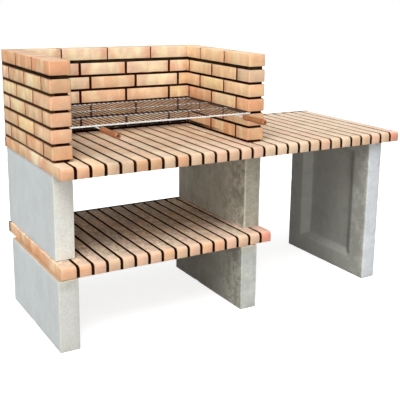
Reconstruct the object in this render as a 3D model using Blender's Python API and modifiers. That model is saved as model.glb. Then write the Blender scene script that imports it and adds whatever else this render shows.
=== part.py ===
"""A free-standing masonry barbecue with a side table.

Precast concrete legs carry three slabs made of brick strips: a low shelf, the hearth slab and the
side table slab. A three-sided brick wall stands on the hearth slab. Its joints are raked, and the
wire grill slides out forward in one of them. Metres, +Z up, front to -Y, floor at z = 0. The sizes
below are measured from the hearth slab's left end and front edge. The last step moves the whole
barbecue so that the origin lies at the bottom centre of its box.
"""

import math

import bmesh
import bpy
from mathutils import Matrix, Vector

# Clearances and cuts
SEAT_GAP = 0.0003  # between two pieces that rest on or against each other
CUT_OVERRUN = 0.002  # how far a cutter runs past the face that it opens
KEY_IN = 0.0005  # how far mortar reaches into the brick that it is one piece with

# Bricks and joints
SIDE_BRICK_LENGTH = 0.202  # the side walls' bricks measure shorter than the back wall's
BACK_BRICK_LENGTH = 0.213
BRICK_WIDTH = 0.082
BRICK_HEIGHT = 0.0525
BED_JOINT = 0.010
CAP_JOINT = 0.0135  # under the top course
FOOT_JOINT = 0.011  # between the worktop and the bottom course
SIDE_JOINT = 0.0085  # upright joints of the side walls
BACK_JOINT = 0.011  # upright joints of the back wall
TIGHT_JOINT = 0.004  # upright joints of the top course, which was laid close
RAKE = 0.010  # how far the bed joints lie behind the brick faces
BACK_RAKE = 0.001  # the same at the back of the walls, where they are struck almost flush
JOINT_DEPTH = 0.008
TIGHT_JOINT_DEPTH = 0.003
COURSES = 6  # counted from the top
SIDE_WALL_BRICKS = 3
WALL_SPAN = 0.952  # outer left face to outer right face
BACK_FIRST_BRICK = {1: 0.193, 2: 0.092, 3: 0.043, 4: 0.092, 5: 0.043, 6: 0.092}  # at the right corner

# Brick strips and slabs
STRIP_WIDTH = 0.048
STRIP_JOINT = 0.012
FIRST_STRIP_WIDTH = 0.050  # the leftmost strip of the worktop's slabs
SHELF_FIRST_STRIP_WIDTH = 0.060
SLAB_THICKNESS = 0.046
SLAB_DEPTH = 0.715
SHELF_DEPTH = 0.690
BACK_BAND = 0.009  # mortar along the back edge of a slab
NOSE_RADIUS = 0.017  # rounded upper front edge of each strip
NOSE_SEGMENTS = 4
STRIP_JOINT_RECESS = 0.0035  # mortar below the strips' top and behind their front
HEARTH_STRIPS = 15
SIDE_STRIPS = 13
SHELF_STRIPS = 16
SLAB_JOINT = 0.0135  # between the hearth slab and the side table slab
SHELF_LEFT = -0.003
SHELF_FRONT = 0.018

# Legs
LEG_THICKNESS = 0.080
LEG_DEPTH = 0.595  # the lower legs and the side table's leg
UPPER_LEG_DEPTH = 0.608
LEG_CHAMFER = 0.005
LOWER_LEG_HEIGHT = 0.290
UPPER_LEG_HEIGHT = 0.344
LOWER_LEG_FRONT = 0.014
UPPER_LEG_FRONT = 0.107
SIDE_LEG_FRONT = 0.028
LOWER_LEFT_OUTSET = 0.018  # how far the lower left leg stands out to the left
UPPER_LEFT_INSET = 0.005  # how far the upper left leg stands in from the slab's left end
LOWER_RIGHT_LEFT_FACE = 0.801
SIDE_OVERHANG = 0.076  # side table slab past its leg
PANEL_MARGIN_SIDE = 0.100
PANEL_MARGIN_BOTTOM = 0.085
PANEL_MARGIN_TOP = 0.055
PANEL_SLOPE_SIDE = 0.050
PANEL_SLOPE_END = 0.024
PANEL_DEPTH = 0.030

# Reinforcing bars, in grooves under the slabs
BAR_DIAMETER = 0.008
BAR_CLEARANCE = 0.0004
BAR_COVER = 0.004
BAR_END_COVER = 0.025
BAR_INSET = 0.140  # bar axis from the slab's front or back edge
BAR_SIDES = 12

# Grill
GRILL_JOINT = 4  # the bed joint, counted from the top, that carries it
GRILL_SIDE_CLEARANCE = 0.0025  # cross wire end to mortar
GRILL_BACK_CLEARANCE = 0.006  # rod end to back wall
CROSS_WIRE_DIAMETER = 0.005
CROSS_WIRES = 4
BACK_WIRE_INSET = 0.020  # back wire from the rod ends
FRONT_WIRE_INSET = 0.005
ROD_DIAMETER = 0.0035
RODS = 35
ROD_SIDE_GAP = 0.004  # outermost rod from the wall
WELD_SINK = 0.0004
ROD_BEVEL_SEGMENTS = 1
WIRE_BEVEL_SEGMENTS = 2

# Handles
SHANK_DIAMETER = 0.005
SHANK_BEHIND_WIRE = 0.022
SHANK_SHOWN = 0.045
HANDLE_LENGTH = 0.150
HANDLE_BORE_DEPTH = 0.060
HANDLE_BORE_CLEARANCE = 0.0005
HANDLE_TIP_CLEARANCE = 0.0009
LEFT_HANDLE_INSET = 0.098  # handle axis from the inner face of the side wall
RIGHT_HANDLE_INSET = 0.050
HANDLE_RADIUS = 0.0125
HANDLE_NECK_RADIUS = 0.0075
HANDLE_STEPS = 16
HANDLE_PROFILE_SHARES = (  # of the radius and of the length, from the neck to the round tip
    (0.78, 0.06),
    (0.96, 0.20),
    (0.88, 0.45),
    (1.00, 0.72),
    (0.96, 0.90),
    (0.62, 0.98),
)

# Derived places
STRIP_PITCH = STRIP_WIDTH + STRIP_JOINT
HEARTH_LENGTH = FIRST_STRIP_WIDTH + (HEARTH_STRIPS - 1) * STRIP_PITCH
SIDE_SLAB_LEFT = HEARTH_LENGTH + SLAB_JOINT
SIDE_SLAB_RIGHT = SIDE_SLAB_LEFT + FIRST_STRIP_WIDTH + (SIDE_STRIPS - 1) * STRIP_PITCH
SHELF_TOP = LOWER_LEG_HEIGHT + SLAB_THICKNESS
WORKTOP_UNDERSIDE = SHELF_TOP + UPPER_LEG_HEIGHT
WORKTOP = WORKTOP_UNDERSIDE + SLAB_THICKNESS
SIDE_PITCH = SIDE_BRICK_LENGTH + SIDE_JOINT
WALL_LENGTH = SIDE_WALL_BRICKS * SIDE_PITCH - SIDE_JOINT
WALL_BACK = SLAB_DEPTH
WALL_FRONT = WALL_BACK - WALL_LENGTH
BACK_WALL_INNER = WALL_BACK - BRICK_WIDTH
LEFT_INNER = BRICK_WIDTH
RIGHT_INNER = WALL_SPAN - BRICK_WIDTH


def course_floor(course):
    """Height of the underside of a course, where course 1 is the top one."""
    below = COURSES - course
    floor = WORKTOP + FOOT_JOINT + below * (BRICK_HEIGHT + BED_JOINT)
    return floor + (CAP_JOINT - BED_JOINT) if course == 1 else floor


def clear_scene():
    for obj in list(bpy.data.objects):
        bpy.data.objects.remove(obj, do_unlink=True)


def new_collection(name):
    collection = bpy.data.collections.new(name)
    bpy.context.scene.collection.children.link(collection)
    return collection


def new_material(name, colour, roughness, metallic=0.0):
    material = bpy.data.materials.new(name)
    material.use_nodes = True
    shader = material.node_tree.nodes["Principled BSDF"]
    shader.inputs["Base Color"].default_value = (*colour, 1.0)
    shader.inputs["Roughness"].default_value = roughness
    shader.inputs["Metallic"].default_value = metallic
    return material


def place(obj, collection, material=None, parent=None):
    """Puts an object in its collection, under its parent, with its material."""
    for other in list(obj.users_collection):
        other.objects.unlink(obj)
    collection.objects.link(obj)
    if material:
        obj.data.materials.clear()
        obj.data.materials.append(material)
    if parent:
        obj.parent = parent
    return obj


def as_cutter(obj):
    obj.hide_render = True
    obj.display_type = "WIRE"
    return obj


def mesh_object(name, mesh_builder, location=(0, 0, 0)):
    """An object whose mesh the builder fills in."""
    mesh = bpy.data.meshes.new(name)
    bm = bmesh.new()
    mesh_builder(bm)
    bm.to_mesh(mesh)
    bm.free()
    obj = bpy.data.objects.new(name, mesh)
    obj.location = location
    bpy.context.scene.collection.objects.link(obj)
    return obj


def add_box(bm, low, high):
    """A box between two corners, and its vertices."""
    low, high = Vector(low), Vector(high)
    matrix = Matrix.Translation((low + high) / 2) @ Matrix.Diagonal((*(high - low), 1))
    return bmesh.ops.create_cube(bm, size=1, matrix=matrix)["verts"]


def box(name, low, high):
    """A box object whose origin is at its middle."""
    low, high = Vector(low), Vector(high)
    half = (high - low) / 2
    return mesh_object(name, lambda bm: add_box(bm, -half, half), (low + high) / 2)


def boolean(obj, other, operation="DIFFERENCE"):
    modifier = obj.modifiers.new(operation.title() + " " + other.name, "BOOLEAN")
    modifier.operation = operation
    modifier.object = other
    modifier.solver = "EXACT"
    return modifier


def chamfer(obj, width):
    modifier = obj.modifiers.new("Chamfer", "BEVEL")
    modifier.width = width
    modifier.segments = 1
    modifier.limit_method = "ANGLE"
    return modifier


def add_nosed_box(bm, low, high, radius):
    """A box whose upper front edge is rounded, as on a brick strip."""
    verts = add_box(bm, low, high)
    front = min(v.co.y for v in verts)
    top = max(v.co.z for v in verts)
    edges = {e for v in verts for e in v.link_edges}
    nose = [
        edge
        for edge in edges
        if all(v.co.y == front and v.co.z == top for v in edge.verts)
    ]
    bmesh.ops.bevel(
        bm, geom=nose, offset=radius, segments=NOSE_SEGMENTS, profile=0.5, affect="EDGES"
    )


def flat_outline(name, points, floor, top):
    """A flat outline filled and extruded from floor to top."""
    curve = bpy.data.curves.new(name, "CURVE")
    curve.dimensions = "2D"
    curve.fill_mode = "BOTH"
    curve.extrude = (top - floor) / 2
    spline = curve.splines.new("POLY")
    spline.points.add(len(points) - 1)
    for point, (x, y) in zip(spline.points, points):
        point.co = (x, y, 0, 1)
    spline.use_cyclic_u = True
    obj = bpy.data.objects.new(name, curve)
    obj.location = (0, 0, (floor + top) / 2)
    return obj


def wire_curve(name, runs, radius, resolution):
    """Straight wires, one run of points each, as a curve with round section and closed ends."""
    curve = bpy.data.curves.new(name, "CURVE")
    curve.dimensions = "3D"
    curve.bevel_depth = radius
    curve.bevel_resolution = resolution
    curve.use_fill_caps = True
    for run in runs:
        spline = curve.splines.new("POLY")
        spline.points.add(len(run) - 1)
        for point, place_at in zip(spline.points, run):
            point.co = (*place_at, 1)
    return bpy.data.objects.new(name, curve)


def curve_to_mesh(curve_object):
    """The curve made a mesh with welded caps, so that a Boolean can take it."""
    bpy.context.scene.collection.objects.link(curve_object)
    bpy.context.view_layer.update()
    graph = bpy.context.evaluated_depsgraph_get()
    mesh = bpy.data.meshes.new_from_object(curve_object.evaluated_get(graph))
    bm = bmesh.new()
    bm.from_mesh(mesh)
    bmesh.ops.remove_doubles(bm, verts=bm.verts, dist=SEAT_GAP / 10)
    bm.to_mesh(mesh)
    bm.free()
    obj = bpy.data.objects.new(curve_object.name, mesh)
    obj.matrix_world = curve_object.matrix_world
    name = curve_object.name
    bpy.data.objects.remove(curve_object, do_unlink=True)
    obj.name = name
    bpy.context.scene.collection.objects.link(obj)
    return obj


class Slab:
    """A slab of brick strips that run front to back, with mortar between and behind them."""

    def __init__(self, name, left, front, depth, floor, strips, first_width):
        self.name = name
        self.corner = Vector((left, front, floor))  # every piece is built from here
        self.depth = depth
        self.strips = strips
        self.first_width = first_width
        self.length = self.strip_span(strips - 1)[1]

    def strip_span(self, index):
        """Where a strip begins and ends, from the slab's left end."""
        end = self.first_width + index * STRIP_PITCH
        return (end - STRIP_WIDTH if index else 0), end

    def piece(self, name, mesh_builder, along=0):
        return mesh_object(name, mesh_builder, self.corner + Vector((along, 0, 0)))

    def add_strip(self, bm, start, end, reach_back):
        low = (start, 0, 0)
        high = (end, self.depth - BACK_BAND + reach_back, SLAB_THICKNESS)
        add_nosed_box(bm, low, high, NOSE_RADIUS)

    def add_strips(self, bm, reach_back):
        for index in range(self.strips):
            self.add_strip(bm, *self.strip_span(index), reach_back)

    def add_fins(self, bm, reach_side):
        """The mortar between the strips, set back from their top and front."""
        for index in range(self.strips - 1):
            along = self.strip_span(index)[1]
            low = (along - reach_side, STRIP_JOINT_RECESS, 0)
            high = (
                along + STRIP_JOINT + reach_side,
                self.depth - BACK_BAND / 2,
                SLAB_THICKNESS - STRIP_JOINT_RECESS,
            )
            add_nosed_box(bm, low, high, NOSE_RADIUS)

    def back_band(self, name):
        low = (0, self.depth - BACK_BAND, 0)
        high = (self.length, self.depth, SLAB_THICKNESS - STRIP_JOINT_RECESS)
        return self.piece(name, lambda bm: add_box(bm, low, high))

    def bar_places(self):
        """How far behind the slab's front each reinforcing bar lies."""
        return {"front": BAR_INSET, "rear": self.depth - BAR_INSET}

    def groove(self, where, behind_front):
        half = BAR_DIAMETER / 2 + BAR_CLEARANCE
        end_cover = BAR_END_COVER - BAR_CLEARANCE
        low = (end_cover, behind_front - half, -CUT_OVERRUN)
        top = BAR_COVER + BAR_DIAMETER + BAR_CLEARANCE
        high = (self.length - end_cover, behind_front + half, top)
        name = f"{self.name}_{where}_groove"
        return as_cutter(self.piece(name, lambda bm: add_box(bm, low, high)))

    def bar(self, where, behind_front):
        bpy.ops.mesh.primitive_cylinder_add(
            vertices=BAR_SIDES,
            radius=BAR_DIAMETER / 2,
            depth=self.length - 2 * BAR_END_COVER,
        )
        obj = bpy.context.object
        obj.name = f"{self.name}_bar_{where}"
        obj.rotation_euler = (0, math.pi / 2, 0)
        middle = Vector((self.length / 2, behind_front, BAR_COVER + BAR_DIAMETER / 2))
        obj.location = self.corner + middle
        obj.data.shade_smooth()
        return obj


def joined_slab(slab, parts, cutters, looks, root):
    """A slab whose strips and mortar are one solid, with its two bars."""
    obj = slab.piece(f"{slab.name}_slab", lambda bm: slab.add_strips(bm, KEY_IN))
    place(obj, parts, looks["brick"], root)
    fins = slab.piece(f"{slab.name}_fins", lambda bm: slab.add_fins(bm, KEY_IN))
    band = slab.back_band(f"{slab.name}_band")
    for helper in (fins, band):
        place(as_cutter(helper), cutters, parent=root)
    boolean(band, fins, "UNION")
    boolean(obj, band, "UNION")
    fit_bars(slab, [obj], parts, cutters, looks, root)


def hearth_slab(slab, parts, cutters, looks, root):
    """The hearth slab, with each strip apart and the mortar between them as one comb."""
    pieces = []
    for index in range(slab.strips):
        name = f"hearth_strip_{index + 1:02d}"
        start, end = slab.strip_span(index)
        width = end - start
        strip = slab.piece(name, lambda bm: slab.add_strip(bm, 0, width, -SEAT_GAP), start)
        pieces.append(place(strip, parts, looks["brick"], root))
    fins = slab.piece("hearth_fins", lambda bm: slab.add_fins(bm, -SEAT_GAP))
    place(as_cutter(fins), cutters, parent=root)
    comb = place(slab.back_band("hearth_mortar_comb"), parts, looks["mortar"], root)
    boolean(comb, fins, "UNION")
    pieces.append(comb)
    fit_bars(slab, pieces, parts, cutters, looks, root)


def fit_bars(slab, pieces, parts, cutters, looks, root):
    for where, behind_front in slab.bar_places().items():
        groove = place(slab.groove(where, behind_front), cutters, parent=root)
        for piece in pieces:
            boolean(piece, groove)
        place(slab.bar(where, behind_front), parts, looks["steel"], root)


def slab_joint(parts, looks, root):
    """The mortar between the hearth slab and the side table slab."""
    low = (
        HEARTH_LENGTH + SEAT_GAP,
        STRIP_JOINT_RECESS,
        WORKTOP_UNDERSIDE,
    )
    high = (
        SIDE_SLAB_LEFT - SEAT_GAP,
        SLAB_DEPTH,
        WORKTOP - STRIP_JOINT_RECESS,
    )
    joint = mesh_object(
        "slab_joint_mortar", lambda bm: add_nosed_box(bm, low, high, NOSE_RADIUS)
    )
    place(joint, parts, looks["mortar"], root)


def leg(name, left, front, depth, floor, top, parts, looks, root):
    low = (left, front, floor)
    high = (left + LEG_THICKNESS, front + depth, top - SEAT_GAP)
    obj = place(box(name, low, high), parts, looks["concrete"], root)
    chamfer(obj, LEG_CHAMFER)
    return obj


def panel_cutter(left, front, top):
    """A shallow panel with sloped borders, cut into a leg's left face."""
    y0, y1 = front + PANEL_MARGIN_SIDE, front + LEG_DEPTH - PANEL_MARGIN_SIDE
    z0, z1 = PANEL_MARGIN_BOTTOM, top - PANEL_MARGIN_TOP
    inner_share = (
        1 - 2 * PANEL_SLOPE_SIDE / (y1 - y0),
        1 - 2 * PANEL_SLOPE_END / (z1 - z0),
    )
    outward = CUT_OVERRUN / PANEL_DEPTH  # the slope carried on past the leg's face
    half = Vector((0, (y1 - y0) / 2, (z1 - z0) / 2))

    def build(bm):
        for vert in add_box(bm, -half, half + Vector((PANEL_DEPTH, 0, 0))):
            inner = vert.co.x > 0
            share_y, share_z = inner_share
            if not inner:
                share_y, share_z = (1 + (1 - share) * outward for share in inner_share)
                vert.co.x = -CUT_OVERRUN
            vert.co.y *= share_y
            vert.co.z *= share_z

    middle = (left, (y0 + y1) / 2, (z0 + z1) / 2)
    return as_cutter(mesh_object("side_leg_panel", build, middle))


def legs(parts, cutters, looks, root):
    for name, left in (
        ("leg_lower_left", -LOWER_LEFT_OUTSET),
        ("leg_lower_right", LOWER_RIGHT_LEFT_FACE),
    ):
        leg(name, left, LOWER_LEG_FRONT, LEG_DEPTH, 0, LOWER_LEG_HEIGHT, parts, looks, root)
    floor, top = SHELF_TOP + SEAT_GAP, WORKTOP_UNDERSIDE
    for name, left in (
        ("leg_upper_left", UPPER_LEFT_INSET),
        ("leg_upper_right", WALL_SPAN - LEG_THICKNESS),
    ):
        leg(name, left, UPPER_LEG_FRONT, UPPER_LEG_DEPTH, floor, top, parts, looks, root)
    left = SIDE_SLAB_RIGHT - SIDE_OVERHANG - LEG_THICKNESS
    tall = leg("leg_side_table", left, SIDE_LEG_FRONT, LEG_DEPTH, 0, top, parts, looks, root)
    panel = place(panel_cutter(left, SIDE_LEG_FRONT, WORKTOP_UNDERSIDE), cutters, parent=root)
    boolean(tall, panel)


def joint_size(course, width):
    """Width and depth of a course's upright joints."""
    return (TIGHT_JOINT, TIGHT_JOINT_DEPTH) if course == 1 else (width, JOINT_DEPTH)


def upright_joints(obj, places, along, faces, size, cutters, root):
    """Grooves in a course bar: one cutter that holds a slot at each place, in each face."""
    width, depth = size
    floor = -BRICK_HEIGHT - CUT_OVERRUN

    def build(bm):
        for at in places:
            for face, inward in faces:
                near, far = sorted((face - inward * CUT_OVERRUN, face + inward * depth))
                side = (at - width / 2, at + width / 2)
                x, y = (side, (near, far)) if along == "X" else ((near, far), side)
                low = (x[0], y[0], floor)
                add_box(bm, low, (x[1], y[1], BRICK_HEIGHT + CUT_OVERRUN))

    name = obj.name + "_joints"
    cutter = as_cutter(mesh_object(name, build, (0, 0, obj.location.z)))
    boolean(obj, place(cutter, cutters, parent=root))


def side_course(name, inner, outer, course, parts, cutters, looks, root):
    """One course of a side wall. The even courses begin and end with half a brick."""
    floor = course_floor(course)
    low = (min(inner, outer), WALL_FRONT, floor)
    high = (max(inner, outer), WALL_BACK, floor + BRICK_HEIGHT)
    bar = place(box(name, low, high), parts, looks["brick"], root)
    whole_bricks = course % 2 == 1
    first_joint = WALL_FRONT - SIDE_JOINT / 2 + (SIDE_PITCH if whole_bricks else SIDE_PITCH / 2)
    joints = SIDE_WALL_BRICKS - 1 if whole_bricks else SIDE_WALL_BRICKS
    places = [first_joint + n * SIDE_PITCH for n in range(joints)]
    inward = 1 if inner < outer else -1
    faces = ((inner, inward), (outer, -inward))
    upright_joints(bar, places, "Y", faces, joint_size(course, SIDE_JOINT), cutters, root)


def back_course(course, parts, cutters, looks, root):
    """One course of the back wall, between the side walls."""
    left, right = LEFT_INNER + SEAT_GAP, RIGHT_INNER - SEAT_GAP
    floor = course_floor(course)
    low = (left, BACK_WALL_INNER, floor)
    high = (right, WALL_BACK, floor + BRICK_HEIGHT)
    name = f"wall_back_course_{course}"
    bar = place(box(name, low, high), parts, looks["brick"], root)
    size = joint_size(course, BACK_JOINT)
    width = size[0]
    place_at = right - BACK_FIRST_BRICK[course] - width / 2
    places = []
    while place_at > left + BACK_JOINT:
        places.append(place_at)
        place_at -= BACK_BRICK_LENGTH + width
    faces = ((BACK_WALL_INNER, 1), (WALL_BACK, -1))
    upright_joints(bar, places, "X", faces, size, cutters, root)


def mortar_bed(name, floor, top, parts, looks, root):
    """The mortar between two courses, round the three walls, raked back except behind them."""
    left, right = RAKE, WALL_SPAN - RAKE
    front, back = WALL_FRONT + RAKE, WALL_BACK - BACK_RAKE
    inner_left, inner_right = LEFT_INNER - RAKE, RIGHT_INNER + RAKE
    inner_back = BACK_WALL_INNER + RAKE
    points = (
        (left, front),
        (inner_left, front),
        (inner_left, inner_back),
        (inner_right, inner_back),
        (inner_right, front),
        (right, front),
        (right, back),
        (left, back),
    )
    bed = flat_outline(name, points, floor + SEAT_GAP, top - SEAT_GAP)
    place(bed, parts, looks["mortar"], root)


def walls(parts, cutters, looks, root):
    below_top = WORKTOP
    for course in range(COURSES, 0, -1):
        floor = course_floor(course)
        mortar_bed(f"mortar_bed_{course}", below_top, floor, parts, looks, root)
        left_name = f"wall_left_course_{course}"
        side_course(left_name, LEFT_INNER, 0, course, parts, cutters, looks, root)
        right_name = f"wall_right_course_{course}"
        side_course(right_name, RIGHT_INNER, WALL_SPAN, course, parts, cutters, looks, root)
        back_course(course, parts, cutters, looks, root)
        below_top = floor + BRICK_HEIGHT


def grill_level():
    """Height of the cross wires' axis: they lie on the course under the grill's joint."""
    ledge = course_floor(GRILL_JOINT + 1) + BRICK_HEIGHT
    return ledge + SEAT_GAP + CROSS_WIRE_DIAMETER / 2


def grill_grid(slide, parts, cutters, looks):
    """Rods that run front to back, welded on four cross wires. The slide's frame is the wall's."""
    reach = RAKE - GRILL_SIDE_CLEARANCE
    left, right = LEFT_INNER - reach, RIGHT_INNER + reach
    front = WALL_FRONT - FRONT_WIRE_INSET
    back = BACK_WALL_INNER - GRILL_BACK_CLEARANCE
    origin = slide.location
    first, last = front + FRONT_WIRE_INSET, back - BACK_WIRE_INSET
    cross_runs = []
    for index in range(CROSS_WIRES):
        y = first + (last - first) * index / (CROSS_WIRES - 1) - origin.y
        cross_runs.append(((left - origin.x, y, 0), (right - origin.x, y, 0)))
    rod_z = CROSS_WIRE_DIAMETER / 2 + ROD_DIAMETER / 2 - WELD_SINK
    first_rod, last_rod = LEFT_INNER + ROD_SIDE_GAP, RIGHT_INNER - ROD_SIDE_GAP
    rod_runs = []
    for index in range(RODS):
        x = first_rod + (last_rod - first_rod) * index / (RODS - 1) - origin.x
        rod_runs.append(((x, front - origin.y, rod_z), (x, back - origin.y, rod_z)))
    cross = wire_curve("grill_grid", cross_runs, CROSS_WIRE_DIAMETER / 2, WIRE_BEVEL_SEGMENTS)
    grid = place(curve_to_mesh(cross), parts, looks["chrome"], slide)
    rods = wire_curve("grill_rods", rod_runs, ROD_DIAMETER / 2, ROD_BEVEL_SEGMENTS)
    rods = place(as_cutter(curve_to_mesh(rods)), cutters, parent=slide)
    boolean(grid, rods, "UNION")


def handle_profile():
    """Radius and depth along the handle, from the bottom of its bore round to its tip."""
    bore = SHANK_DIAMETER / 2 + HANDLE_BORE_CLEARANCE
    points = [(0, -HANDLE_BORE_DEPTH), (bore, -HANDLE_BORE_DEPTH), (bore, 0)]
    points.append((HANDLE_NECK_RADIUS, 0))
    for radius_share, length_share in HANDLE_PROFILE_SHARES:
        points.append((radius_share * HANDLE_RADIUS, -length_share * HANDLE_LENGTH))
    points.append((0, -HANDLE_LENGTH))
    return points


def turned_handle(name):
    """A turned wooden handle. Its axis is Z, and its bore opens at the origin, upwards."""
    mesh = bpy.data.meshes.new(name)
    bm = bmesh.new()
    verts = [bm.verts.new((radius, 0, z)) for radius, z in handle_profile()]
    for start, end in zip(verts, verts[1:]):
        bm.edges.new((start, end))
    bm.to_mesh(mesh)
    bm.free()
    obj = bpy.data.objects.new(name, mesh)
    screw = obj.modifiers.new("Turning", "SCREW")
    screw.axis = "Z"
    screw.steps = screw.render_steps = HANDLE_STEPS
    screw.use_merge_vertices = True
    screw.merge_threshold = SEAT_GAP / 10
    screw.use_smooth_shade = True
    return obj


def handle(side, x, slide, parts, looks):
    """A shank welded under the front wire, with its wooden handle pushed on."""
    wire_to_shank = CROSS_WIRE_DIAMETER / 2 + SHANK_DIAMETER / 2 + SEAT_GAP
    under_wire = Vector((x - slide.location.x, 0, -wire_to_shank))
    start = under_wire + Vector((0, SHANK_BEHIND_WIRE, 0))
    mouth = under_wire - Vector((0, SHANK_SHOWN, 0))
    end = mouth - Vector((0, HANDLE_BORE_DEPTH - HANDLE_TIP_CLEARANCE, 0))
    shank = wire_curve(f"grill_shank_{side}", ((start, end),), SHANK_DIAMETER / 2, WIRE_BEVEL_SEGMENTS)
    place(shank, parts, looks["chrome"], slide)
    wood = place(turned_handle(f"grill_handle_{side}"), parts, looks["wood"], slide)
    wood.location = mouth
    wood.rotation_euler = (-math.pi / 2, 0, 0)
    return wood


def grill(parts, cutters, looks, root):
    slide = bpy.data.objects.new("grill_slide", None)
    place(slide, parts, parent=root)
    slide.location = (WALL_SPAN / 2, WALL_FRONT, grill_level())
    bpy.context.view_layer.update()
    grill_grid(slide, parts, cutters, looks)
    handle("left", LEFT_INNER + LEFT_HANDLE_INSET, slide, parts, looks)
    handle("right", RIGHT_INNER - RIGHT_HANDLE_INSET, slide, parts, looks)


def centre_on_floor(root, parts):
    """Moves the root so that the origin is at the bottom centre of the whole barbecue."""
    bpy.context.view_layer.update()
    graph = bpy.context.evaluated_depsgraph_get()
    points = []
    for obj in parts.objects:
        if obj.type != "EMPTY":
            seen = obj.evaluated_get(graph)
            points += [seen.matrix_world @ vert.co for vert in seen.to_mesh().vertices]
            seen.to_mesh_clear()
    low = [min(point[axis] for point in points) for axis in range(3)]
    high = [max(point[axis] for point in points) for axis in range(3)]
    root.location = (-(low[0] + high[0]) / 2, -(low[1] + high[1]) / 2, -low[2])
    bpy.context.view_layer.update()


def build():
    clear_scene()
    parts = new_collection("masonry_barbecue")
    cutters = new_collection("cutters")
    looks = {
        "brick": new_material("fired_brick", (0.72, 0.50, 0.32), 0.85),
        "mortar": new_material("dark_mortar", (0.06, 0.04, 0.03), 0.95),
        "concrete": new_material("cast_concrete", (0.55, 0.56, 0.54), 0.9),
        "steel": new_material("reinforcing_steel", (0.25, 0.20, 0.17), 0.6, 1.0),
        "chrome": new_material("chromed_wire", (0.75, 0.76, 0.78), 0.2, 1.0),
        "wood": new_material("turned_wood", (0.42, 0.19, 0.09), 0.5),
    }
    root = bpy.data.objects.new("barbecue", None)
    place(root, parts)
    shelf_size = (SHELF_DEPTH, LOWER_LEG_HEIGHT, SHELF_STRIPS, SHELF_FIRST_STRIP_WIDTH)
    shelf = Slab("shelf", SHELF_LEFT, SHELF_FRONT, *shelf_size)
    hearth_size = (SLAB_DEPTH, WORKTOP_UNDERSIDE, HEARTH_STRIPS, FIRST_STRIP_WIDTH)
    hearth = Slab("hearth", 0, 0, *hearth_size)
    table_size = (SLAB_DEPTH, WORKTOP_UNDERSIDE, SIDE_STRIPS, FIRST_STRIP_WIDTH)
    table = Slab("side_table", SIDE_SLAB_LEFT, 0, *table_size)
    legs(parts, cutters, looks, root)
    joined_slab(shelf, parts, cutters, looks, root)
    joined_slab(table, parts, cutters, looks, root)
    hearth_slab(hearth, parts, cutters, looks, root)
    slab_joint(parts, looks, root)
    walls(parts, cutters, looks, root)
    grill(parts, cutters, looks, root)
    centre_on_floor(root, parts)


build()
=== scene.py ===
"""Looks for a masonry barbecue with a side table.

Every brick of the walls and of the three slabs is laid here as a worn, fired brick of its own, in the
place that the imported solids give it. The legs are recast with worn arrises, the grill is made again in
round wire with its welds, and the handles are turned again in more detail. Metres, +Z up, front to -Y.
"""

import math
import random
from collections import namedtuple
from contextlib import contextmanager
from functools import partialmethod

import bmesh
import bpy
from mathutils import Matrix, Vector, noise


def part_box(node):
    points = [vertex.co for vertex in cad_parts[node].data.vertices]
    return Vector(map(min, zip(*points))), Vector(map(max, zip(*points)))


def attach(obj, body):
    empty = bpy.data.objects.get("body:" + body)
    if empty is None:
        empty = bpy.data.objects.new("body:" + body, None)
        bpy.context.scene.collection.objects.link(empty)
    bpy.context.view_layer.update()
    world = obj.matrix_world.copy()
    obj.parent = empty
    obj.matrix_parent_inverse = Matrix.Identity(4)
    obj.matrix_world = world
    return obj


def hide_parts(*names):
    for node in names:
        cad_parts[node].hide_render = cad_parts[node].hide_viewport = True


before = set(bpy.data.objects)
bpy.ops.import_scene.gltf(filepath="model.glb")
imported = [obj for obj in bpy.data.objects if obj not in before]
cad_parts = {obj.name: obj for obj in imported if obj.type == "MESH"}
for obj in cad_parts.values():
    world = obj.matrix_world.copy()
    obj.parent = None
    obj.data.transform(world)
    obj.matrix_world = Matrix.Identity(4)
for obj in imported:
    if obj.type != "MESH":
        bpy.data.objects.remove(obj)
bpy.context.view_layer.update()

MM = 0.001
TOUCHING = MM / 10
MERGING = MM / 100

# Camera, fitted to the photograph's 400 pixel frame
CAMERA_EYE = (-1.7010, -2.7993, 1.3540)
CAMERA_YAW = math.radians(31.612)  # from +Y towards +X
CAMERA_PITCH = math.radians(12.775)  # downwards
CAMERA_ROLL = math.radians(0.962)
CAMERA_LENS = 66.373
CAMERA_SENSOR = 36.0
CAMERA_SHIFT = (-0.0434, -0.0990)

# Light
FLOOR_SIZE = 60
FLOOR_GREY = (0.34, 0.34, 0.34, 1)  # as it lights the barbecue
FLOOR_SEEN_GREY = (0.55, 0.55, 0.55, 1)  # as the camera sees it
FLOOR_GLOW = 0.80
BLACK = (0, 0, 0, 1)
WHITE = (1, 1, 1, 1)
SKY_STRENGTH = 0.68
SKY_DEPTH = (-0.6, 0.7)  # directions between which the sky dims from front to back
SKY_BACK_SHARE = 0.40
SKY_HEIGHT = (0.0, 0.75)  # and brightens upwards
SKY_HORIZON_SHARE = 0.22
LAMPS = {  # where each comes from, how wide it is and how strong
    "key_light": ((-0.42, -0.46, 1.00), math.radians(35), 2.3),
    "front_light": ((-0.35, -0.93, 0.08), math.radians(24), 1.3),
    "side_light": ((-0.97, -0.20, 0.10), math.radians(24), 0.8),
}

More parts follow.
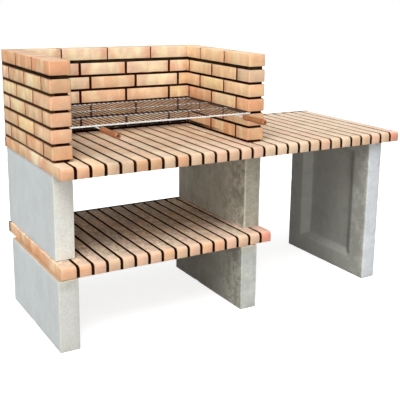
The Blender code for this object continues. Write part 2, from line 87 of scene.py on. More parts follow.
# Bricks and joints, as in the walls' solids
COURSES = 6
SIDE_PITCH = 0.2105
SIDE_JOINT = 0.0085
BACK_BRICK_LENGTH = 0.213
BACK_JOINT = 0.011
TIGHT_JOINT = 0.004  # in the top course
SIDE_SET_BACK = 0.001  # upright mortar behind the faces of the side walls
BACK_SET_BACK = 0.004
TIGHT_SET_BACK = 0.0005
JOINT_BITE = 0.0005  # how far upright mortar reaches into the bricks
BLEACHED_SMEAR_AND_SHADE = 0.4  # of mortar smear with painted shade on the brick ends that the weather has cleaned
OUTSIDE_DEPTH = 0.020  # of the skin of the walls' mortar that the weather or the fire reaches
POINTING_SET_BACK = 0.0015
POINTING_SIZE = 0.013
POINTING_LENGTH = 0.040
END_ROUNDING = 0.006  # of the bricks at the side walls' front ends
END_SEGMENTS = 5
BACK_FIRST_BRICK = {1: 0.193, 2: 0.092, 3: 0.043, 4: 0.092, 5: 0.043, 6: 0.092}  # at the right corner

# Brick strips of the slabs
HEARTH_STRIPS = 15
FIRST_STRIP_WIDTHS = {"shelf": 0.060, "side_table": 0.050}
NOSE_RADIUS = 0.017
NOSE_SEGMENTS = 8
MORTAR_NOSE_SEGMENTS = 6
BACK_BAND = 0.014
BAND_RECESS = 0.0004
JOINT_RECESS = 0.0035
STRIP_FIRST_BRICK = (0.198, 0.222)  # shortest and longest brick at the front of a strip
STRIP_BRICKS = (0.098, 0.118, 0.162, 0.198)
STRIP_LEAST_BRICK = 0.045
# strength of the mortar smear, with painted shade, on the strips' sides in the joints
STRIP_SMEAR_AND_SHADE = 0.8
STRIP_SEED = 17
BUTT_GAP = 0.0004

# Wear: how wide the arrises are rounded, how finely a face is cut, and how deep it waves and chips
Wear = namedtuple("Wear", "arris segments cell wobble chip")
BRICK_WEAR = Wear(arris=0.0022, segments=2, cell=0.024, wobble=0.0004, chip=0.0022)
LEG_WEAR = Wear(arris=0.0025, segments=3, cell=0.030, wobble=0.0005, chip=0.0028)
WORN_REACH = 1.5  # arris widths
WOBBLE_SCALE = 22
CHIP_SCALE = 60
CHIP_LEAST = 0.18  # noise under it leaves the arris whole
SEED_STEP = 0.618
SEED_SHIFTS = (1.7, 3.1, 5.3)

# Which edges count as sharp, and which stay sharp when a piece is smoothed
SHARP = math.radians(50)
PANEL_SHARP = math.radians(20)
BRICK_SMOOTHING = math.radians(35)
LEG_SMOOTHING = math.radians(30)
ROUND_SMOOTHING = math.radians(50)

# Legs
PANEL_MARGINS = {"side": 0.100, "bottom": 0.085, "top": 0.055}
PANEL_SLOPES = {"side": 0.050, "end": 0.024}
PANEL_DEPTH = 0.030
PANEL_ROUNDING = 0.006

# Grill
CROSS_WIRES = 4
CROSS_WIRE_RADIUS = 0.0027
FRONT_WIRE_RADIUS = 0.0030
WIRE_RISE = 0.0008  # so far the rods sink into the wires at the welds
WIRE_RESOLUTION = 4
ROD_RADIUS = 0.0020
ROD_RESOLUTION = 3
RODS = 35
ROD_SIDE_GAP = 0.0115  # outermost rod's axis from the cross wires' ends
FRONT_WIRE_INSET = 0.005
BACK_WIRE_INSET = 0.020
WELD_RADIUS = 0.0044
WELD_FLATNESS = 0.70

# Handles
HANDLE_LENGTH = 0.150
HANDLE_RADIUS = 0.0125
HANDLE_STEPS = 40
HANDLE_PROFILE_SHARES = (  # of the radius and of the length, from the neck to the hole in the tip
    (0.00, 0.000),
    (0.74, 0.000),
    (0.88, 0.012),
    (0.95, 0.040),
    (0.97, 0.110),
    (0.96, 0.180),
    (0.91, 0.290),
    (0.88, 0.370),
    (0.90, 0.460),
    (0.95, 0.580),
    (0.99, 0.700),
    (1.00, 0.800),
    (0.99, 0.880),
    (0.94, 0.900),
    (0.95, 0.912),
    (0.98, 0.930),
    (0.95, 0.970),
    (0.86, 0.990),
    (0.68, 0.999),
    (0.46, 1.000),
    (0.40, 0.990),
    (0.38, 0.966),
    (0.00, 0.962),
)
RING_SHARE = 0.906  # burnt ring's place along the handle, from its neck
RING_HALF_WIDTHS = (0.0015, 0.0045)  # of its dark middle and of its whole
NECK_SHARE = 0.20  # of the handle's length, over which the neck darkens
HOLE_SHARE = 0.97  # the hole in the tip goes in to here, from its neck


def srgb(red, green, blue):
    """A colour given in 0 to 255 as the eye sees it, in Blender's linear values."""
    values = []
    for channel in (red, green, blue):
        c = channel / 255
        values.append(c / 12.92 if c <= 0.04045 else ((c + 0.055) / 1.055) ** 2.4)
    return (*values, 1.0)


CLAY = {  # each brick's tone, and how strongly cream flames cross it
    "cream": (srgb(238, 206, 174), 0.80),
    "straw": (srgb(234, 202, 154), 0.65),
    "sand": (srgb(229, 201, 170), 0.1),
    "honey": (srgb(250, 214, 158), 0.55),
    "apricot": (srgb(243, 201, 155), 0.45),
    "blush": (srgb(231, 190, 160), 0.1),
    "buff": (srgb(221, 190, 157), 0.25),
    "peach": (srgb(231, 185, 147), 0.4),
    "tan": (srgb(216, 174, 134), 0.4),
    "orange": (srgb(226, 168, 125), 0.4),
    "ember": (srgb(226, 168, 118), 0.6),
    "umber": (srgb(188, 160, 134), 0.1),
    "rose": (srgb(222, 156, 130), 0.1),
    "salmon": (srgb(228, 157, 133), 0.1),
}
# Courses counted from the top; side walls front to back, back wall right to left
SIDE_WALLS = {
    "left": {
        1: "orange orange orange",
        2: "tan straw tan cream",
        3: "peach straw straw",
        4: "peach tan straw cream",
        5: "peach honey tan",
        6: "tan orange tan buff",
    },
    "right": {
        1: "apricot apricot apricot",
        2: "buff apricot apricot straw",
        3: "apricot honey apricot",
        4: "orange apricot orange peach",
        5: "tan peach tan",
        6: "tan ember orange tan",
    },
}
BACK_WALL = {
    1: "cream cream cream cream",
    2: "cream cream cream cream cream",
    3: "straw cream peach cream straw",
    4: "straw peach peach cream tan",
    5: "buff tan tan buff tan",
    6: "tan buff tan buff tan",
}
STRIP_TONES = {
    "hearth": ("buff", "tan", "blush", "buff", "tan"),
    "side_table": ("sand", "blush", "sand", "buff"),
    # the shelf's darker umber tones are partly dirt and partly painted shade under the worktop
    "shelf": ("umber", "tan", "umber", "umber"),
}
OUTER_STRIP_TONES = {  # of the strip on the left edge, from the front
    "hearth": ("peach", "cream", "tan", "orange", "rose"),
    "shelf": ("peach", "orange", "orange", "tan"),
}
SHELF_NOSE_TONES = ("buff", "peach", "buff", "blush")
FRONT_TONES = {  # strips whose front brick stands out, counted from the left
    "hearth": {2: "peach", 3: "apricot"},
    "side_table": {13: "rose"},
    "shelf": {2: "peach", 16: "salmon"},
}


# Modelling

def deselect():
    bpy.ops.object.select_all(action="DESELECT")


def add_object(name, data):
    thing = bpy.data.objects.new(name, data)
    bpy.context.scene.collection.objects.link(thing)
    return thing


def make_active(piece):
    deselect()
    piece.select_set(True)
    bpy.context.view_layer.objects.active = piece


@contextmanager
def editing():
    """Edit mode for the lines under it."""
    bpy.ops.object.mode_set(mode="EDIT")
    yield
    bpy.ops.object.mode_set(mode="OBJECT")


def add_block(name, low, high):
    """A box between two corners, with its place in its mesh."""
    low, high = Vector(low), Vector(high)
    deselect()
    bpy.ops.mesh.primitive_cube_add(size=1, location=(low + high) / 2)
    block = bpy.context.object
    block.name = name
    block.scale = high - low
    bpy.ops.object.transform_apply()
    return block


def select_parts(kind, wanted):
    """In edit mode, selects the edges or the faces that pass the test."""
    mesh = bpy.context.object.data
    bpy.ops.mesh.select_mode(type=kind)
    bpy.ops.mesh.select_all(action="DESELECT")
    bm = bmesh.from_edit_mesh(mesh)
    for part in bm.edges if kind == "EDGE" else bm.faces:
        if wanted(part):
            part.select_set(True)
    bmesh.update_edit_mesh(mesh)


def select_edges(wanted):
    """In edit mode, selects the edges whose two ends pass the test."""
    select_parts("EDGE", lambda edge: wanted(edge.verts[0].co, edge.verts[1].co))


def round_off(width, segments):
    """In edit mode, rounds the selected edges."""
    bpy.ops.mesh.bevel(offset=width, segments=segments, profile=0.5)


def round_off_sharp(width, segments, sharpness=SHARP):
    bpy.ops.mesh.select_mode(type="EDGE")
    bpy.ops.mesh.select_all(action="DESELECT")
    bpy.ops.mesh.edges_select_sharp(sharpness=sharpness)
    round_off(width, segments)


def cut_across(at, normal):
    """In edit mode, cuts the whole mesh by a plane."""
    bpy.ops.mesh.select_all(action="SELECT")
    bpy.ops.mesh.bisect(plane_co=at, plane_no=normal)


def cut_in_cells(low, high, cell):
    """In edit mode, cuts the whole mesh by planes about one cell apart."""
    for axis in range(3):
        span = high[axis] - low[axis]
        count = max(1, round(span / cell))
        normal = Vector((0, 0, 0))
        normal[axis] = 1
        for index in range(1, count):
            at = Vector(low)
            at[axis] = low[axis] + span * index / count
            cut_across(at, normal)


def close_mesh():
    """In edit mode, merges doubles and turns the faces outwards."""
    bpy.ops.mesh.select_all(action="SELECT")
    bpy.ops.mesh.remove_doubles(threshold=MERGING)
    bpy.ops.mesh.normals_make_consistent(inside=False)


def wear(mesh, low, high, seed, amount):
    """Makes the arrises and faces slightly uneven and knocks small chips out, always inwards."""
    middle = (Vector(low) + Vector(high)) / 2
    shift = Vector([seed * step for step in SEED_SHIFTS])
    reach = amount.arris * WORN_REACH
    for vert in mesh.vertices:
        depths = [min(vert.co[axis] - low[axis], high[axis] - vert.co[axis]) for axis in range(3)]
        inwards = middle - vert.co
        uneven = 0.5 + 0.5 * noise.noise(vert.co * WOBBLE_SCALE + shift)
        move = amount.wobble * uneven
        if sorted(depths)[1] < reach:
            hit = noise.noise(vert.co * CHIP_SCALE + shift * 2)
            move += amount.chip * max(0.0, hit - CHIP_LEAST)
        step = Vector()
        for axis in range(3):
            if depths[axis] < reach:
                step[axis] = math.copysign(move, inwards[axis])
        vert.co += step


def join(name, pieces):
    """One piece of several, with its place in its mesh."""
    deselect()
    for piece in pieces:
        piece.select_set(True)
    bpy.context.view_layer.objects.active = pieces[0]
    if len(pieces) > 1:
        bpy.ops.object.join()
    joined = bpy.context.object
    joined.name = name
    joined.data.name = name
    return joined


def finish_piece(piece, material, body="masonry", replaced=()):
    """Gives a piece its material and its body, and hides the CAD nodes that it stands for."""
    piece.data.materials.clear()
    piece.data.materials.append(material)
    if replaced:
        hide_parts(*replaced)
    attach(piece, body)


# Node trees

# A noise; its low and high values are eased into the least and the most that are wanted of it
Noise = namedtuple(
    "Noise",
    "scale detail roughness low high least most stretch shift",
    defaults=(2.0, 0.5, 0.3, 0.7, 0.0, 1.0, None, None),
)
Pores = namedtuple("Pores", "scale size amount")
Grain = namedtuple("Grain", "scale tint")
Coat = namedtuple("Coat", "tone strength")
Relief = namedtuple("Relief", "strength depth")


class Tree:
    """Short calls that add nodes to a material, a group or the world."""

    def __init__(self, node_tree):
        self.tree = node_tree
        self.colour = None

    def link(self, output, wanted):
        self.tree.links.new(output, wanted)

    def fill(self, node, inputs):
        """Links a node's inputs that are given as sockets and sets the others."""
        for key, value in inputs.items():
            if isinstance(value, bpy.types.NodeSocket):
                self.link(value, node.inputs[key])
            else:
                node.inputs[key].default_value = value
        return node

    def add(self, kind, inputs=None, **settings):
        node = self.tree.nodes.new("ShaderNode" + kind)
        for key, value in settings.items():
            setattr(node, key, value)
        return self.fill(node, inputs or {})

    def group(self, made, inputs):
        return self.fill(self.add("Group", node_tree=made), inputs).outputs

    def maths(self, operation, a, b):
        return self.add("Math", {0: a, 1: b}, operation=operation).outputs[0]

    plus = partialmethod(maths, "ADD")
    minus = partialmethod(maths, "SUBTRACT")
    under = partialmethod(maths, "LESS_THAN")
    over = partialmethod(maths, "GREATER_THAN")
    larger = partialmethod(maths, "MAXIMUM")
    smaller = partialmethod(maths, "MINIMUM")

    def times(self, product, *others):
        for other in others:
            product = self.maths("MULTIPLY", product, other)
        return product

    def vector(self, operation, a, b=(0, 0, 0)):
        return self.add("VectorMath", {0: a, 1: b}, operation=operation).outputs[0]

    def split(self, vector):
        """A vector's x, y and z."""
        return self.add("SeparateXYZ", {0: vector}).outputs

    def between(self, value, low, high, out_low=0.0, out_high=1.0):
        """The value, eased from one range into another."""
        inputs = {0: value, 1: low, 2: high, 3: out_low, 4: out_high}
        return self.add("MapRange", inputs, interpolation_type="SMOOTHSTEP").outputs[0]

    def place(self):
        return self.add("TexCoord").outputs["Object"]

    def facing(self):
        """The surface normal's x, y and z."""
        return self.split(self.add("TexCoord").outputs["Normal"])

    def attribute(self, name):
        return self.add("Attribute", attribute_name=name).outputs

    def noise(self, place, look):
        """A noise's own value."""
        if look.stretch:
            place = self.vector("MULTIPLY", place, look.stretch)
        if look.shift:
            place = self.vector("ADD", place, look.shift)
        inputs = {"Vector": place, "Scale": look.scale, "Detail": look.detail, "Roughness": look.roughness}
        return self.add("TexNoise", inputs).outputs["Fac"]

    def eased(self, value, look):
        return self.between(value, look.low, look.high, look.least, look.most)

    def patches(self, place, look):
        return self.eased(self.noise(place, look), look)

    def pores(self, place, look):
        inputs = {"Place": place, "Scale": look.scale, "Size": look.size, "Amount": look.amount}
        return self.group(PORES, inputs)["Mask"]

    def grain(self, place, look):
        return self.group(GRAIN, {"Place": place, "Scale": look.scale, "Tint": look.tint})

    def arrises(self, offset, half, width):
        return self.group(ARRIS, {"Offset": offset, "Half": half, "Width": width})["Mask"]

    def mix(self, factor, a, b, blend="MIX"):
        return self.add("Mix", {0: factor, 6: a, 7: b}, data_type="RGBA", blend_type=blend).outputs[2]

    def cover(self, mask, tone):
        """Changes the material's colour to a tone where the mask is."""
        self.colour = self.mix(mask, self.colour, tone)

    def coat(self, mask, coat):
        self.cover(self.times(mask, coat.strength), coat.tone)

    def tint(self, shade):
        """Makes the material's colour lighter or darker by a value near 1."""
        grey = self.add("CombineColor", {0: shade, 1: shade, 2: shade}).outputs[0]
        self.colour = self.mix(1.0, self.colour, grey, "MULTIPLY")

    def surface(self, shader, height, relief, others):
        """Joins a shader to the colour and a bump, and to what else is given by its socket's name."""
        inputs = {"Strength": relief.strength, "Distance": relief.depth, "Height": height}
        bump = self.add("Bump", inputs).outputs[0]
        self.fill(shader, {"Base Color": self.colour, "Normal": bump, **others})


def new_group(name, inputs, outputs):
    """An empty node group with named sockets, and its input and output nodes."""
    made = bpy.data.node_groups.new(name, "ShaderNodeTree")
    for in_out, sockets in (("INPUT", inputs), ("OUTPUT", outputs)):
        for label, kind in sockets.items():
            made.interface.new_socket(name=label, in_out=in_out, socket_type="NodeSocket" + kind)
    given = made.nodes.new("NodeGroupInput").outputs
    result = made.nodes.new("NodeGroupOutput").inputs
    return made, Tree(made), given, result


def arris_group():
    """Mask of the arrises of a block, from each point's offset from the block's middle."""
    sockets = {"Offset": "Vector", "Half": "Vector", "Width": "Float"}
    made, t, given, result = new_group("Arris", sockets, {"Mask": "Float"})
    x, y, z = t.split(t.vector("SUBTRACT", given["Half"], t.vector("ABSOLUTE", given["Offset"])))
    second = t.larger(t.smaller(x, y), t.smaller(t.larger(x, y), z))
    t.link(t.between(second, 0.0, given["Width"], 1.0, 0.0), result["Mask"])
    return made


FINE_SHARE = 0.6  # of the grain's height
COARSE_SHARE = 0.4
COARSE_SCALE = 0.3  # of the fine grain's


def grain_group():
    """Sandy grain: a height for bump and a value near 1 that tints a colour."""
    sockets = {"Place": "Vector", "Scale": "Float", "Tint": "Float"}
    made, t, given, result = new_group("Sandy grain", sockets, {"Height": "Float", "Shade": "Float"})
    fine = t.noise(given["Place"], Noise(given["Scale"], detail=3.0, roughness=0.6))
    coarse = t.noise(given["Place"], Noise(t.times(given["Scale"], COARSE_SCALE)))
    height = t.plus(t.times(fine, FINE_SHARE), t.times(coarse, COARSE_SHARE))
    t.link(height, result["Height"])
    t.link(t.plus(t.times(t.minus(height, 0.5), given["Tint"]), 1.0), result["Shade"])
    return made


def pore_group():
    """Small round pits, as in fired clay and cast concrete: 1 in a pit and 0 round it."""
    sockets = {"Place": "Vector", "Scale": "Float", "Size": "Float", "Amount": "Float"}
    made, t, given, result = new_group("Pores", sockets, {"Mask": "Float"})
    cells = t.add("TexVoronoi", {"Vector": given["Place"], "Scale": given["Scale"]})
    near = t.between(cells.outputs["Distance"], 0.0, given["Size"], 1.0, 0.0)
    red = t.add("SeparateColor", {0: cells.outputs["Color"]}).outputs[0]
    t.link(t.times(near, t.under(red, given["Amount"])), result["Mask"])
    return made


ARRIS = arris_group()
GRAIN = grain_group()
PORES = pore_group()


def new_material(name):
    material = bpy.data.materials.new(name)
    material.use_nodes = True
    shader = material.node_tree.nodes["Principled BSDF"]
    return material, Tree(material.node_tree), shader


# Sooting and painted shadow at the walls' foot, smoky stain and painted shade below the grill

OUTER_LEFT, INNER_LEFT = (corner.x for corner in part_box("wall_left_course_6"))
INNER_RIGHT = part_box("wall_right_course_6")[0].x
WALL_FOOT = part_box("wall_back_course_6")[0]  # its y is the back wall's inner face
# a near-black band at the walls' foot just above the hearth: sooting and painted shadow
SOOT_AND_SHADOW_TONE = srgb(8, 5, 4)
SOOT_AND_SHADOW_FULL = 0.011
SOOT_AND_SHADOW_HEIGHT = 0.015
SOOT_AND_SHADOW_REACH = 0.42  # along the side walls, from the back one
SOOT_AND_SHADOW_EDGE = Noise(40.0, low=0.2, high=0.6, least=0.88)
# grey-brown of the smoky stain and painted shade below the grill, and of the ash
GREY_BROWN = srgb(92, 78, 70)
SMOKE_AND_SHADE_TOP = 0.115  # where the smoky stain and the painted shade under the grill end
SMOKE_AND_SHADE_SPAN = (0.05, 0.40)  # from the left wall, where the smoky stain and the painted shade thin out
SMOKE_AND_SHADE_SHARES = (0.58, 0.22)


def between_walls(t, depth):
    """Mask of the space between the walls, and of the walls as deep as given."""
    x, y, _ = t.split(t.place())
    across = t.times(t.over(x, INNER_LEFT - depth), t.under(x, INNER_RIGHT + depth))
    return t.times(across, t.under(y, WALL_FOOT.y + depth))


def soot_and_shadow_length(t):
    """How strongly the walls' foot is painted near black along the side walls, as sooting and painted
    shadow.
    """
    y = t.split(t.place())[1]
    return t.between(y, WALL_FOOT.y - SOOT_AND_SHADOW_REACH, WALL_FOOT.y - SOOT_AND_SHADOW_REACH / 4)


def blackened_and_shaded(t):
    """Clay painted near black at the inner faces' foot, as sooting and painted shadow, and darker on the
    back wall below the grill, as smoky stain and painted shade.
    """
    x, y, z = t.split(t.place())
    inside = t.times(between_walls(t, MM), t.over(z, WALL_FOOT.z - MM))
    start, end = SMOKE_AND_SHADE_SPAN
    smoke_and_shade = t.between(x, INNER_LEFT + start, INNER_LEFT + end, *SMOKE_AND_SHADE_SHARES)
    smoke_and_shade = t.times(inside, t.under(z, WALL_FOOT.z + SMOKE_AND_SHADE_TOP), t.over(y, WALL_FOOT.y - MM), smoke_and_shade)
    # painted shade below the grill, with smoky stain, on the back wall
    t.cover(smoke_and_shade, GREY_BROWN)
    # painted shadow, with sooting: a near-black band at the inner faces' foot
    soot_and_shadow = t.between(z, WALL_FOOT.z + SOOT_AND_SHADOW_FULL, WALL_FOOT.z + SOOT_AND_SHADOW_HEIGHT, 1.0, 0.0)
    soot_and_shadow = t.times(inside, soot_and_shadow, soot_and_shadow_length(t), t.patches(t.place(), SOOT_AND_SHADOW_EDGE))
    t.cover(soot_and_shadow, SOOT_AND_SHADOW_TONE)


# Fired clay

CLAY_NOISE = {
    "flames": Noise(19.0, 1.5, low=0.38, high=0.60, stretch=(1.0, 0.30, 0.45)),
    "blush": Noise(24.0, 1.0),
    "clouds": Noise(17.0, 3.0, high=0.75, least=0.92, most=1.06),
    "speckle": Noise(190.0, least=0.965, most=1.030, stretch=(0.7, 1.0, 1.0)),
    "drag": Noise(1.0, 2.0, 0.6, 0.2, 0.8, least=0.95, most=1.035, stretch=(9.0, 330.0, 330.0)),
    # patches of grime and painted shade on the shelf's tops
    "grime": Noise(62.0, 5.0, 0.7, 0.35, 0.65, least=-0.32, most=0.22, stretch=(1.0, 0.5, 1.0)),
}
CLAY_GRAIN = Grain(650.0, 0.20)
CLAY_PITS = Pores(210.0, 0.35, 0.16)
CREAM_FLAME = srgb(254, 234, 192)
END_BLUSH = srgb(229, 162, 126)
# painted light on the side table's tops, paler towards its right end
PAINTED_TOP_LIGHT = srgb(244, 228, 208)
# grey dust and painted shade on the shelf under the worktop
SHELF_DUST_AND_SHADE = Coat(srgb(186, 182, 180), 0.14)
ASH = Coat(GREY_BROWN, 0.12)
# brown of the scorch and painted shade on the hearth in the corner at the back wall
SCORCH_AND_SHADE = Coat(srgb(104, 62, 34), 0.58)
PIT_SHADE = Coat(srgb(120, 70, 40), 0.35)
BARE_ARRIS = Coat(srgb(252, 226, 194), 0.14)
# dark mortar smear on brick faces in the joints, deepened as painted shade
MORTAR_SMEAR_AND_SHADE = Coat(srgb(54, 26, 12), 0.92)
# brown of the mortar run and of the painted shade along the beds
BED_STAIN_AND_SHADE = Coat(srgb(124, 78, 44), 0.40)
CLAY_SEED_SHARE = 3.7  # of a brick's seed, as its pattern's shift along Y
CLAY_UPWARDS = (0.6, 0.95)  # the normal's height where a face starts to count as a top
BLUSH_LENGTH = 0.055  # from a brick's ends
PAINTED_TOP_LIGHT_SHARES = (0.34, 0.62)  # from the side table's middle to its right end
GRIME_AND_SHADE_START, GRIME_AND_SHADE_FULL = 0.01, 0.09  # behind the shelf's front
ASH_START, ASH_FULL = 0.36, 0.10  # before the hearth's back edge
SCORCH_AND_SHADE_START, SCORCH_AND_SHADE_FULL = 0.10, 0.012  # before the back wall
ARRIS_WIDTH = 0.004
BED_STAIN_AND_SHADE_WIDTH = 0.007
BED_STAIN_AND_SHADE_DEPTH = 0.010
CLEAN_CAP = 0.010  # the top of the top course, where no stain shows
DRAG_HEIGHT, GRAIN_HEIGHT, PIT_HEIGHT = 0.35, 0.65, 0.9


def fired_tone(t, place, end_gap):
    """A brick's own tone, with cream flames across it, blushing ends, clouds and speckle."""
    brick = t.attribute("brick_tone")
    tone, strength = brick["Color"], brick["Alpha"]
    end = t.between(end_gap, 0.0, BLUSH_LENGTH, 1.0, 0.0)
    flames = t.times(t.patches(place, CLAY_NOISE["flames"]), strength, t.minus(1.0, end))
    t.colour = t.mix(flames, tone, CREAM_FLAME)
    blush = t.times(end, t.patches(place, CLAY_NOISE["blush"]), strength)
    t.cover(blush, END_BLUSH)
    t.tint(t.patches(place, CLAY_NOISE["clouds"]))
    t.tint(t.patches(place, CLAY_NOISE["speckle"]))


def tops_with_use_and_painted_light(t):
    """Brick tops: paler towards the side table's right end as painted light, on the shelf grimy, dusty and
    darker as painted shade, and on the hearth ashy, with scorch and painted shade near the back wall.
    """
    x, y, z = t.split(t.place())
    upwards = t.between(t.facing()[2], *CLAY_UPWARDS)
    table_low, table_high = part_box("side_table_slab")
    # painted light from above: the side table's tops paler towards its right end
    rubbed = t.between(x, (table_low.x + table_high.x) / 2, table_high.x, *PAINTED_TOP_LIGHT_SHARES)
    t.cover(t.times(upwards, rubbed), PAINTED_TOP_LIGHT)

    shelf_low, shelf_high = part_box("shelf_slab")
    # painted shade under the worktop, with grime and grey dust: the shelf's tops behind its front are darker
    # in patches and greyer
    on_shelf = t.times(upwards, t.under(z, shelf_high.z + MM))
    on_shelf = t.times(on_shelf, t.between(y, shelf_low.y + GRIME_AND_SHADE_START, shelf_low.y + GRIME_AND_SHADE_FULL))
    grime = t.times(on_shelf, t.patches(t.place(), CLAY_NOISE["grime"]))
    t.tint(t.plus(1.0, grime))
    t.coat(on_shelf, SHELF_DUST_AND_SHADE)

    hearth_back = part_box("hearth_strip_01")[1].y
    ashy = t.times(upwards, t.between(y, hearth_back - ASH_START, hearth_back - ASH_FULL))
    ashy = t.times(ashy, t.over(z, shelf_high.z + MM), t.under(x, INNER_RIGHT))
    t.coat(ashy, ASH)
    # scorch with painted shade on the hearth's tops in the corner at the back wall's foot
    scorched_and_shaded = t.between(y, WALL_FOOT.y - SCORCH_AND_SHADE_START, WALL_FOOT.y - SCORCH_AND_SHADE_FULL)
    scorched_and_shaded = t.times(scorched_and_shaded, t.under(z, WALL_FOOT.z + MM), ashy)
    t.coat(scorched_and_shaded, SCORCH_AND_SHADE)


def stained_and_shaded_beds(t, bed_gap):
    """Clay darkened brown along the beds on the left wall's outer face: mortar run over its arrises, and
    painted shade in the raked beds.
    """
    bottom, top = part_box("wall_left_course_6")[0].z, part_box("wall_left_course_1")[1].z
    x, _, z = t.split(t.place())
    stain_and_shade = t.between(bed_gap, 0.0, BED_STAIN_AND_SHADE_WIDTH, 1.0, 0.0)
    stain_and_shade = t.times(stain_and_shade, t.under(x, OUTER_LEFT + BED_STAIN_AND_SHADE_DEPTH))
    stain_and_shade = t.times(stain_and_shade, t.over(z, bottom), t.under(z, top - CLEAN_CAP))
    # mortar run with painted shade beside the raked beds
    t.coat(stain_and_shade, BED_STAIN_AND_SHADE)


def fired_clay():
    """Brick clay: its own tone, the marks of use with painted light and shade on the tops, drag lines, pits,
    pale arrises, mortar smear and stains with painted shade in the joints and along the beds, and sooting
    and smoky stain with painted shade at the walls' foot.
    """
    material, t, shader = new_material("Fired clay")
    offset, half = t.attribute("brick_offset")["Vector"], t.attribute("brick_half")["Vector"]
    end_gap, _, bed_gap = t.split(t.vector("SUBTRACT", half, t.vector("ABSOLUTE", offset)))
    seed = t.attribute("brick_seed")["Fac"]
    shift = t.add("CombineXYZ", {0: seed, 1: t.times(seed, CLAY_SEED_SHARE), 2: 0.0}).outputs[0]
    place = t.vector("ADD", offset, shift)
    fired_tone(t, place, end_gap)
    tops_with_use_and_painted_light(t)
    drag = t.noise(place, CLAY_NOISE["drag"])
    t.tint(t.eased(drag, CLAY_NOISE["drag"]))
    grain = t.grain(place, CLAY_GRAIN)
    t.tint(grain["Shade"])
    pits = t.pores(place, CLAY_PITS)
    t.coat(pits, PIT_SHADE)
    t.coat(t.arrises(offset, half, ARRIS_WIDTH), BARE_ARRIS)
    # mortar smear on the faces in the joints, made darker as painted shade
    t.coat(t.attribute("brick_smear_and_shade")["Fac"], MORTAR_SMEAR_AND_SHADE)
    stained_and_shaded_beds(t, bed_gap)
    blackened_and_shaded(t)
    height = t.plus(t.times(drag, DRAG_HEIGHT), t.times(grain["Height"], GRAIN_HEIGHT))
    height = t.minus(height, t.times(pits, PIT_HEIGHT))
    roughness = t.between(grain["Height"], 0.2, 0.8, 0.80, 0.96)
    others = {"Roughness": roughness, "Specular IOR Level": 0.25}
    t.surface(shader, height, Relief(0.45, 0.0012), others)
    return material


# Mortar

TOP_MORTAR = (srgb(44, 18, 4), srgb(112, 72, 44))  # at the left and at the right
TOP_SPAN = (-0.60, 0.45)  # from the one to the other
MORTAR_UPWARDS = (0.75, 0.98)
MORTAR_CLOUDS = Noise(28.0, 3.0)
MORTAR_GRAIN = Grain(480.0, 0.9)
MORTAR_GRIT = Pores(420.0, 0.40, 0.22)
CLOUD_STRENGTH = 0.55
GRIT_STRENGTH = 0.35
OUTSIDE_STRENGTH = 0.7
# near black in the lowest bed: sooting and painted shadow
FOOT_SOOT_AND_SHADOW = Coat(SOOT_AND_SHADOW_TONE, 0.85)
GRIT_HEIGHT = 0.5


def mortar(name, tone, pale, top=None, outside=None):
    """Raked cement mortar with sand grains, on top in tones of its own. With a tone for outside,
    it has that outside the left wall, where the weather gets at it, and is painted near black in the lowest
    bed between the walls, as sooting and painted shadow."""
    material, t, shader = new_material(name)
    place = t.place()
    x, _, z = t.split(place)
    t.colour = tone
    t.coat(t.patches(place, MORTAR_CLOUDS), Coat(pale, CLOUD_STRENGTH))
    grain = t.grain(place, MORTAR_GRAIN)
    t.tint(grain["Shade"])
    grit = t.pores(place, MORTAR_GRIT)
    t.coat(grit, Coat(pale, GRIT_STRENGTH))
    if top:
        upwards = t.between(t.facing()[2], *MORTAR_UPWARDS)
        t.cover(upwards, t.mix(t.between(x, *TOP_SPAN), *top))
    if outside:
        outer = t.under(x, OUTER_LEFT + OUTSIDE_DEPTH)
        t.coat(outer, Coat(outside, OUTSIDE_STRENGTH))
        # the lowest bed between the walls, painted near black as sooting and painted shadow
        sooty_and_shaded = t.times(between_walls(t, OUTSIDE_DEPTH), t.under(z, WALL_FOOT.z + MM), soot_and_shadow_length(t))
        t.coat(sooty_and_shaded, FOOT_SOOT_AND_SHADOW)
    height = t.plus(grain["Height"], t.times(grit, GRIT_HEIGHT))
    t.surface(shader, height, Relief(0.9, 0.0022), {"Roughness": 0.95, "Specular IOR Level": 0.02})
    return material


# Concrete

LEG_NOISE = {
    "mottle": Noise(9.5, 6.0, 0.66),
    "blotches": Noise(7.0, 6.0, 0.66, low=0.49, high=0.60),
    "drips": Noise(1.0, 4.0, 0.65, low=0.50, high=0.66, stretch=(24.0, 24.0, 2.4)),
    "grime": Noise(34.0, 5.0, 0.72, low=0.45, high=0.58),
    "flecks": Noise(48.0, 4.0, 0.7, low=0.55, high=0.66, shift=(1.3, 4.1, 2.2)),
    "smudge_and_shadow": Noise(30.0, 3.0, low=0.35, high=0.6, least=0.1, most=0.45),
    "speckle": Noise(120.0, 3.0, 0.7, low=0.35, high=0.65, least=-1.0),
    "lime": Noise(11.0, 5.0, 0.7, low=0.56, high=0.74, shift=(3.1, 1.7, 0.4)),
    "ragged": Noise(38.0, 3.0),
}
LEG_GRAIN = Grain(300.0, 0.16)
LEG_HOLES = Pores(75.0, 0.16, 0.22)
LEG_SMALL_HOLES = Pores(190.0, 0.22, 0.25)
LEG_SPECKS = Pores(110.0, 0.22, None)  # as many as the leg is mottled
BEDDING_TONE = srgb(186, 156, 124)  # on the legs' tops
PALE_FLECK = srgb(190, 190, 174)
